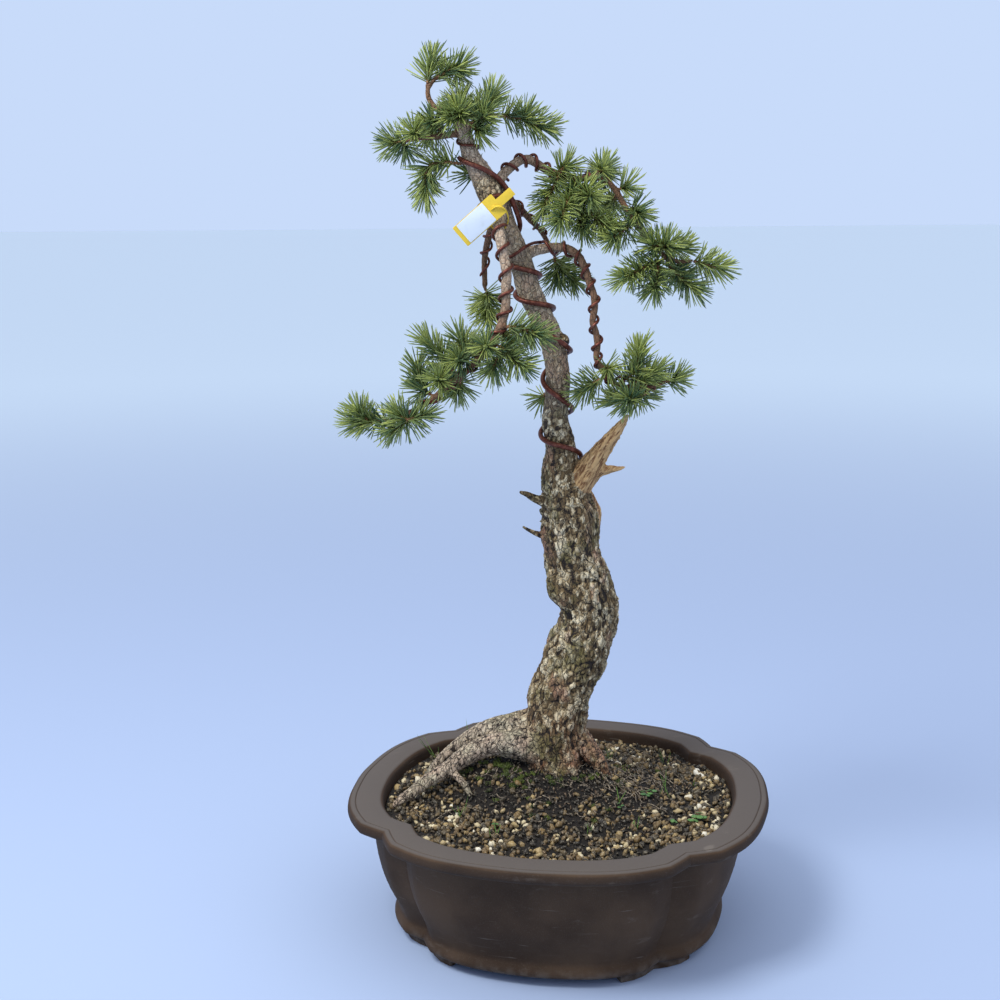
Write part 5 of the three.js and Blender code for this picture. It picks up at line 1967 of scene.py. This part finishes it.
@dataclass
class Tag:
    """The yellow plastic tag with its strap, its peg and loop, and its blank paper label."""

    skeleton: Skeleton
    length: float = 51.0
    width: float = 23.5
    thick: float = 1.0
    strap: float = 18.0
    strap_width: float = 9.0
    tilt: float = 40.7
    centre: tuple[float, float, float] = (-79.0, -36.0, 750.0)
    label_length: float = 34.0
    label_width: float = 22.0
    label_thick: float = 0.6
    label_end: float = 4.5
    loop_stop: float = 1.55
    loop_depth: float = 2.6
    loop_lift: float = 6.5
    peg_in: float = 6.0

    def build(self) -> list[Object]:
        """Model the tag and its label.

        Returns:
            The tag and the label.
        """
        plate = self._plate(self.length, self.width, self.thick, 1.2)
        self._pull_strap(plate)
        bevel(plate, 0.22, 40)
        self._place(plate, 0.0, 0.0)
        tag = join([plate, self._loop(), self._peg()], "yellow_tag")
        settle(tag)
        yellow = Plastic("tag_plastic", tint(232, 196, 52), tint(176, 146, 44), 0.38)
        dress(tag, "tag_plastic", yellow.material())
        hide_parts("tag")
        label = self._plate(self.label_length, self.label_width, self.label_thick, 0.7)
        bevel(label, 0.16, 40)
        self._place(label, self.length / 2 - self.label_end - self.label_length / 2, self.thick + 0.35)
        label.name = label.data.name = "blank_label"
        settle(label)
        paper = Plastic("label_paper", tint(222, 230, 236), tint(190, 196, 196), 0.55)
        dress(label, "label_paper", paper.material())
        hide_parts("tag_label")
        return [tag, label]

    @staticmethod
    def _plate(length: float, width: float, thick: float, corner: float) -> Object:
        """Model a flat plate with rounded corners, its back on the ground.

        Args:
            length: Along X.
            width: Along Y.
            thick: Along Z.
            corner: The corners' radius.

        Returns:
            The plate.
        """
        plate = primitive(bpy.ops.mesh.primitive_cube_add, size=1, location=(0, 0, 0.5))
        plate.scale = (length * MM, width * MM, thick * MM)
        bpy.ops.object.transform_apply(location=True, rotation=True, scale=True)
        with editing(plate, "DESELECT"):
            bpy.ops.mesh.select_mode(type="EDGE")
        for edge in plate.data.edges:
            low, high = sorted(plate.data.vertices[i].co.z for i in edge.vertices)
            edge.select = high - low > thick * MM / 2
        with editing(plate, None):
            bpy.ops.mesh.bevel(offset=corner * MM, segments=5, affect="EDGES")
            bpy.ops.mesh.select_mode(type="VERT")
        return plate

    def _pull_strap(self, plate: Object) -> None:
        """Cut the plate's end face to the strap's width and pull the strap out of it.

        Args:
            plate: The plate.
        """
        end, half = -self.length / 2 * MM, self.strap_width / 2 * MM
        for side in (-1, 1):
            with editing(plate):
                bpy.ops.mesh.bisect(plane_co=(0, side * half, 0), plane_no=(0, 1, 0))
        unpick(plate)
        for face in plate.data.polygons:
            if face.normal.x < -0.9 and abs(face.center.x - end) < 1e-5 and abs(face.center.y) < half:
                for corner in face.vertices:
                    plate.data.vertices[corner].select = True
        with editing(plate, None):
            bpy.ops.mesh.extrude_region_move(TRANSFORM_OT_translate={"value": (-self.strap * MM, 0, 0)})

    def _basis(self) -> Matrix:
        """Give the tag's turn: along, across and facing.

        Returns:
            The turn.
        """
        tilt = math.radians(self.tilt)
        along = Vector((-math.cos(tilt), 0, -math.sin(tilt)))
        facing = Vector((0, -1, 0))
        return Matrix((along, facing.cross(along), facing)).transposed()

    def _place(self, piece: Object, along: float, out: float) -> None:
        """Move a flat piece's mesh to its place on the tag.

        Args:
            piece: The piece, lying on the ground at the origin.
            along: How far towards the hanging end it goes.
            out: How far in front of the tag's back.
        """
        basis = self._basis()
        shift = Vector(self.centre) * MM + basis @ Vector((along, 0, out)) * MM
        piece.data.transform(Matrix.Translation(shift) @ basis.to_4x4())
        piece.data.update()

    def _loop(self) -> Object:
        """Model the flat loop round the branch.

        Returns:
            The loop.
        """
        limb = self.skeleton.limbs["front_branch"]
        ring = int(np.abs(limb.stops - self.loop_stop).argmin())
        along, centre = Vector(limb.along[ring]), Vector(limb.centres[ring])
        up = (Vector((0, 0, 1)) - along * along.z).normalized()
        loop = primitive(bpy.ops.mesh.primitive_cylinder_add, vertices=40, radius=1,
                         depth=self.loop_depth * MM, end_fill_type="NOTHING")
        with editing(loop):
            bpy.ops.transform.resize(value=(10.1 * MM, 15.9 * MM, 1), center_override=(0, 0, 0))
        modify(loop, "SOLIDIFY", thickness=0.95 * MM, offset=-1)
        bevel(loop, 0.2, 60)
        basis = Matrix((up.cross(along), up, along)).transposed()
        middle = (centre + up * self.loop_lift + along * 2) * MM
        loop.data.transform(Matrix.Translation(middle) @ basis.to_4x4())
        return loop

    def _peg(self) -> Object:
        """Model the small domed peg at the plate's upper end.

        Returns:
            The peg.
        """
        peg = primitive(bpy.ops.mesh.primitive_cylinder_add, vertices=20, radius=1.9 * MM, depth=2.4 * MM,
                        location=(0, 0, 1.6 * MM))
        bevel(peg, 0.7, 60, 3)
        self._place(peg, -self.length / 2 + self.peg_in, 0.0)
        return peg


# Needles


@dataclass
class Needles:
    """The needled sprays, a piece for each of the frame's sprays."""

    skeleton: Skeleton
    length: float = 23.0
    width: float = 0.74
    pairs_per_mm: float = 1.65
    pairs_at_tip: int = 12
    tries: int = 6
    lean: float = 68.0
    lean_drop: float = 36.0
    lean_spread: float = 10.0
    tip_from: float = 0.93
    lift: float = 0.14
    tone_spread: float = 0.26
    bud_sizes: tuple[float, ...] = (9.5, 6.0, 5.5, 5.0)
    seed: int = 5

    def build(self) -> list[Object]:
        """Model every spray.

        Returns:
            The sprays.
        """
        draw = random.Random(self.seed)
        leans = ((0.06, 0.02), (0.12, 0.05), (0.09, -0.03), (0.2, 0.03))
        pairs = [self._pair(spread, bend) for spread, bend in leans]
        bud = Shape.taken(tapered(7, 0.2, ((0.22, 1.3), (0.28, 0.95), (0.28, 0.6), (0.22, 0.2))))
        finishes = (
            Leaf("needle_green", tint(160, 168, 96), tint(62, 94, 64), tint(176, 186, 94)).material(),
            Scales("shoot_scales", tint(108, 68, 42), tint(176, 128, 84)).material(),
        )
        made = []
        for spray in SPRAYS:
            heap = Heap()
            shade = draw.uniform(-0.12, 0.12)
            limbs = [shoot.limb for shoot in self.skeleton.shoots if shoot.spray == spray]
            for limb in limbs:
                self._dress_shoot(heap, limb, pairs, bud, shade, draw)
            core = join([limb.tube(7, 0.15) for limb in limbs], "core")
            core.data.polygons.foreach_set("material_index", [1] * len(core.data.polygons))
            smooth(core)
            needles = heap.piece("leaves")
            for piece in (needles, core):
                for finish in finishes:
                    piece.data.materials.append(finish)
            whole = join([needles, core], f"spray_{spray}")
            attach(whole, "root")
            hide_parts(f"needles_{spray}")
            made.append(whole)
        return made

    def _pair(self, spread: float, bend: float) -> Shape:
        """Model a pair of needles of unit length that spring from one sheath.

        Args:
            spread: How far each leans from the pair's middle, as a slope.
            bend: How much each curves, as a share of its length.

        Returns:
            The pair's shape.
        """
        halves = []
        thin = self.width / self.length
        for side in (-1, 1):
            half = tapered(3, thin, ((0.3, 1.0), (0.35, 0.95), (0.25, 0.8), (0.1, 0.15)))
            places = places_of(half)
            height = places[:, 2]
            places[:, 0] += side * (thin * 0.75 + spread * height) + bend * height**2
            places[:, 1] += side * bend * 0.8 * height**2
            put_places(half, places)
            halves.append(half)
        return Shape.taken(join(halves, "pair"))

    def _dress_shoot(self, heap: Heap, limb: Limb, pairs: list[Shape], bud: Shape, shade: float,
                     draw: random.Random) -> None:
        """Set pairs of needles round a stem and buds at its tip.

        Args:
            heap: Where they are gathered.
            limb: The stem.
            pairs: The shapes to choose from.
            bud: The bud's shape.
            shade: How much yellower the whole spray is.
            draw: The source of random numbers.
        """
        length = float(limb.run[-1])
        count = round(length * self.pairs_per_mm) + self.pairs_at_tip
        copies: list[list[Copy]] = [[] for _ in pairs]
        for k in range(count):
            share = 0.05 + 0.95 * (k / (count - 1)) ** 0.85
            run = share * length
            i = min(int(np.searchsorted(limb.run, run)), len(limb.run) - 1)
            root = limb.centres[i] - limb.along[i] * (limb.run[i] - run)
            for _ in range(self.tries):
                turn = GOLDEN_TURN * k + draw.uniform(-0.5, 0.5)
                lean = math.radians(self.lean - self.lean_drop * share**1.6 + draw.gauss(0, self.lean_spread))
                if share > self.tip_from:
                    lean *= draw.uniform(0.5, 1.15)
                out = limb.across[i] * math.cos(turn) + limb.over[i] * math.sin(turn)
                way = limb.along[i] * math.cos(lean) + out * math.sin(lean)
                way = unit(way + np.array([0, 0, self.lift]))
                size = self.length * draw.uniform(0.8, 1.12)
                start = root + out * float(limb.radii[i]) * 0.6
                if all(self.skeleton.is_clear(start + way * size * part, 0.8) for part in (0.35, 0.7, 1.0)):
                    break
            else:
                continue
            spin = pointing(way) @ Matrix.Rotation(draw.uniform(0, 6.28), 3, "Z")
            wide = draw.uniform(0.85, 1.1) * self.length
            turned = np.array(spin) @ np.diag([wide, wide, size]) * MM
            tone = held(0.4 + shade + draw.gauss(0, self.tone_spread) + 0.15 * share)
            copies[draw.randrange(len(pairs))].append((turned, start * MM, tone))
        for shape, chosen in zip(pairs, copies):
            if chosen:
                heap.add(shape, chosen)
        self._add_buds(heap, limb, bud, draw)

    def _add_buds(self, heap: Heap, limb: Limb, bud: Shape, draw: random.Random) -> None:
        """Set a large bud at a stem's tip and smaller ones round it."""
        tip, along = limb.centres[-1], limb.along[-1]
        for k, size in enumerate(self.bud_sizes):
            way = along.copy()
            if k:
                turn = 2.1 * k + draw.uniform(-0.3, 0.3)
                out = limb.across[-1] * math.cos(turn) + limb.over[-1] * math.sin(turn)
                way = unit(along + 0.55 * out)
            turned = np.array(pointing(way)) * size * MM
            heap.add(bud, [(turned, (tip - way * 1.2) * MM, draw.random())])


# Floor, light and camera


@dataclass
class Studio:
    """The pale floor, the soft light, and the camera at the photograph's place."""

    eye: tuple[float, float, float] = (0.0, -1.548, 0.756)
    yaw: float = -2.3
    pitch: float = 10.8
    roll: float = -0.45
    focal: float = 54.0

    def build(self) -> None:
        """Make all of it."""
        self._camera()
        self._floor()
        self._lights()

    def _camera(self) -> None:
        """Make the scene's camera."""
        data = bpy.data.cameras.new("camera")
        data.lens, data.sensor_width = self.focal, 36
        camera = bpy.data.objects.new("camera", data)
        bpy.context.scene.collection.objects.link(camera)
        yaw, pitch, roll = (math.radians(a) for a in (self.yaw, self.pitch, self.roll))
        ahead = Vector((math.sin(yaw) * math.cos(pitch), math.cos(yaw) * math.cos(pitch), -math.sin(pitch)))
        right = ahead.cross(Vector((0, 0, 1))).normalized()
        up = right.cross(ahead)
        right, up = (math.cos(roll) * right + math.sin(roll) * up,
                     math.cos(roll) * up - math.sin(roll) * right)
        turn = Matrix((right, up, -ahead)).transposed().to_4x4()
        camera.matrix_world = Matrix.Translation(Vector(self.eye)) @ turn
        bpy.context.scene.camera = camera

    def _floor(self) -> None:
        """Lay the plain floor."""
        floor = primitive(bpy.ops.mesh.primitive_plane_add, "floor", size=160)
        floor.data.materials.append(Sheet().material())

    def _lights(self) -> None:
        """Set a pale sky that is brightest overhead, and a soft lamp from the upper left."""
        bpy.context.scene.view_settings.view_transform = "Standard"
        world = bpy.data.worlds.new("sky")
        bpy.context.scene.world = world
        world.use_nodes = True
        tree = world.node_tree
        background = tree.nodes["Background"]
        ramp = tree.nodes.new("ShaderNodeValToRGB")
        split = tree.nodes.new("ShaderNodeSeparateXYZ")
        place = tree.nodes.new("ShaderNodeTexCoord")
        tree.links.new(place.outputs["Generated"], split.inputs[0])
        tree.links.new(split.outputs[2], ramp.inputs[0])
        tree.links.new(ramp.outputs[0], background.inputs[0])
        haze, dim, bright = tint(200, 219, 250), tint(150, 166, 214), tint(248, 251, 255)
        Graph.set_stops(ramp.color_ramp.elements, ((0.16, haze), (0.34, dim), (0.8, bright)))
        background.inputs[1].default_value = 1.0
        lamps = (("key", (-1.2, -1.0, 2.4), 0.9, 46.0), ("fill", (1.8, -1.6, 1.6), 2.0, 6.0))
        for name, place, size, power in lamps:
            data = bpy.data.lights.new(name, "AREA")
            data.size, data.energy = size, power
            lamp = bpy.data.objects.new(name, data)
            lamp.location = place
            lamp.rotation_euler = (Vector((0, 0, 0.45)) - Vector(place)).to_track_quat("-Z", "Y").to_euler()
            bpy.context.scene.collection.objects.link(lamp)


def report(pieces: Iterable[Object]) -> None:
    """Log each piece with its count of triangles."""
    for piece in pieces:
        count = sum(len(face.vertices) - 2 for face in piece.data.polygons)
        LOG.info("%s: %d triangles", piece.name, count)


def main() -> None:
    """Build the bonsai round its frame, in a set order, and report each piece."""
    logging.basicConfig(level=logging.INFO, format="%(relativeCreated)d ms %(message)s")
    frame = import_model()
    Studio().build()
    skeleton = Skeleton()
    pot = Pot()
    report([pot.build()])
    report(Soil(pot, skeleton).build())
    report([Tree(skeleton).build()])
    report(Wires().build(frame["nodes"]))
    report(Tag(skeleton).build())
    report(Needles(skeleton).build())
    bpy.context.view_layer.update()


if __name__ == "__main__":
    main()
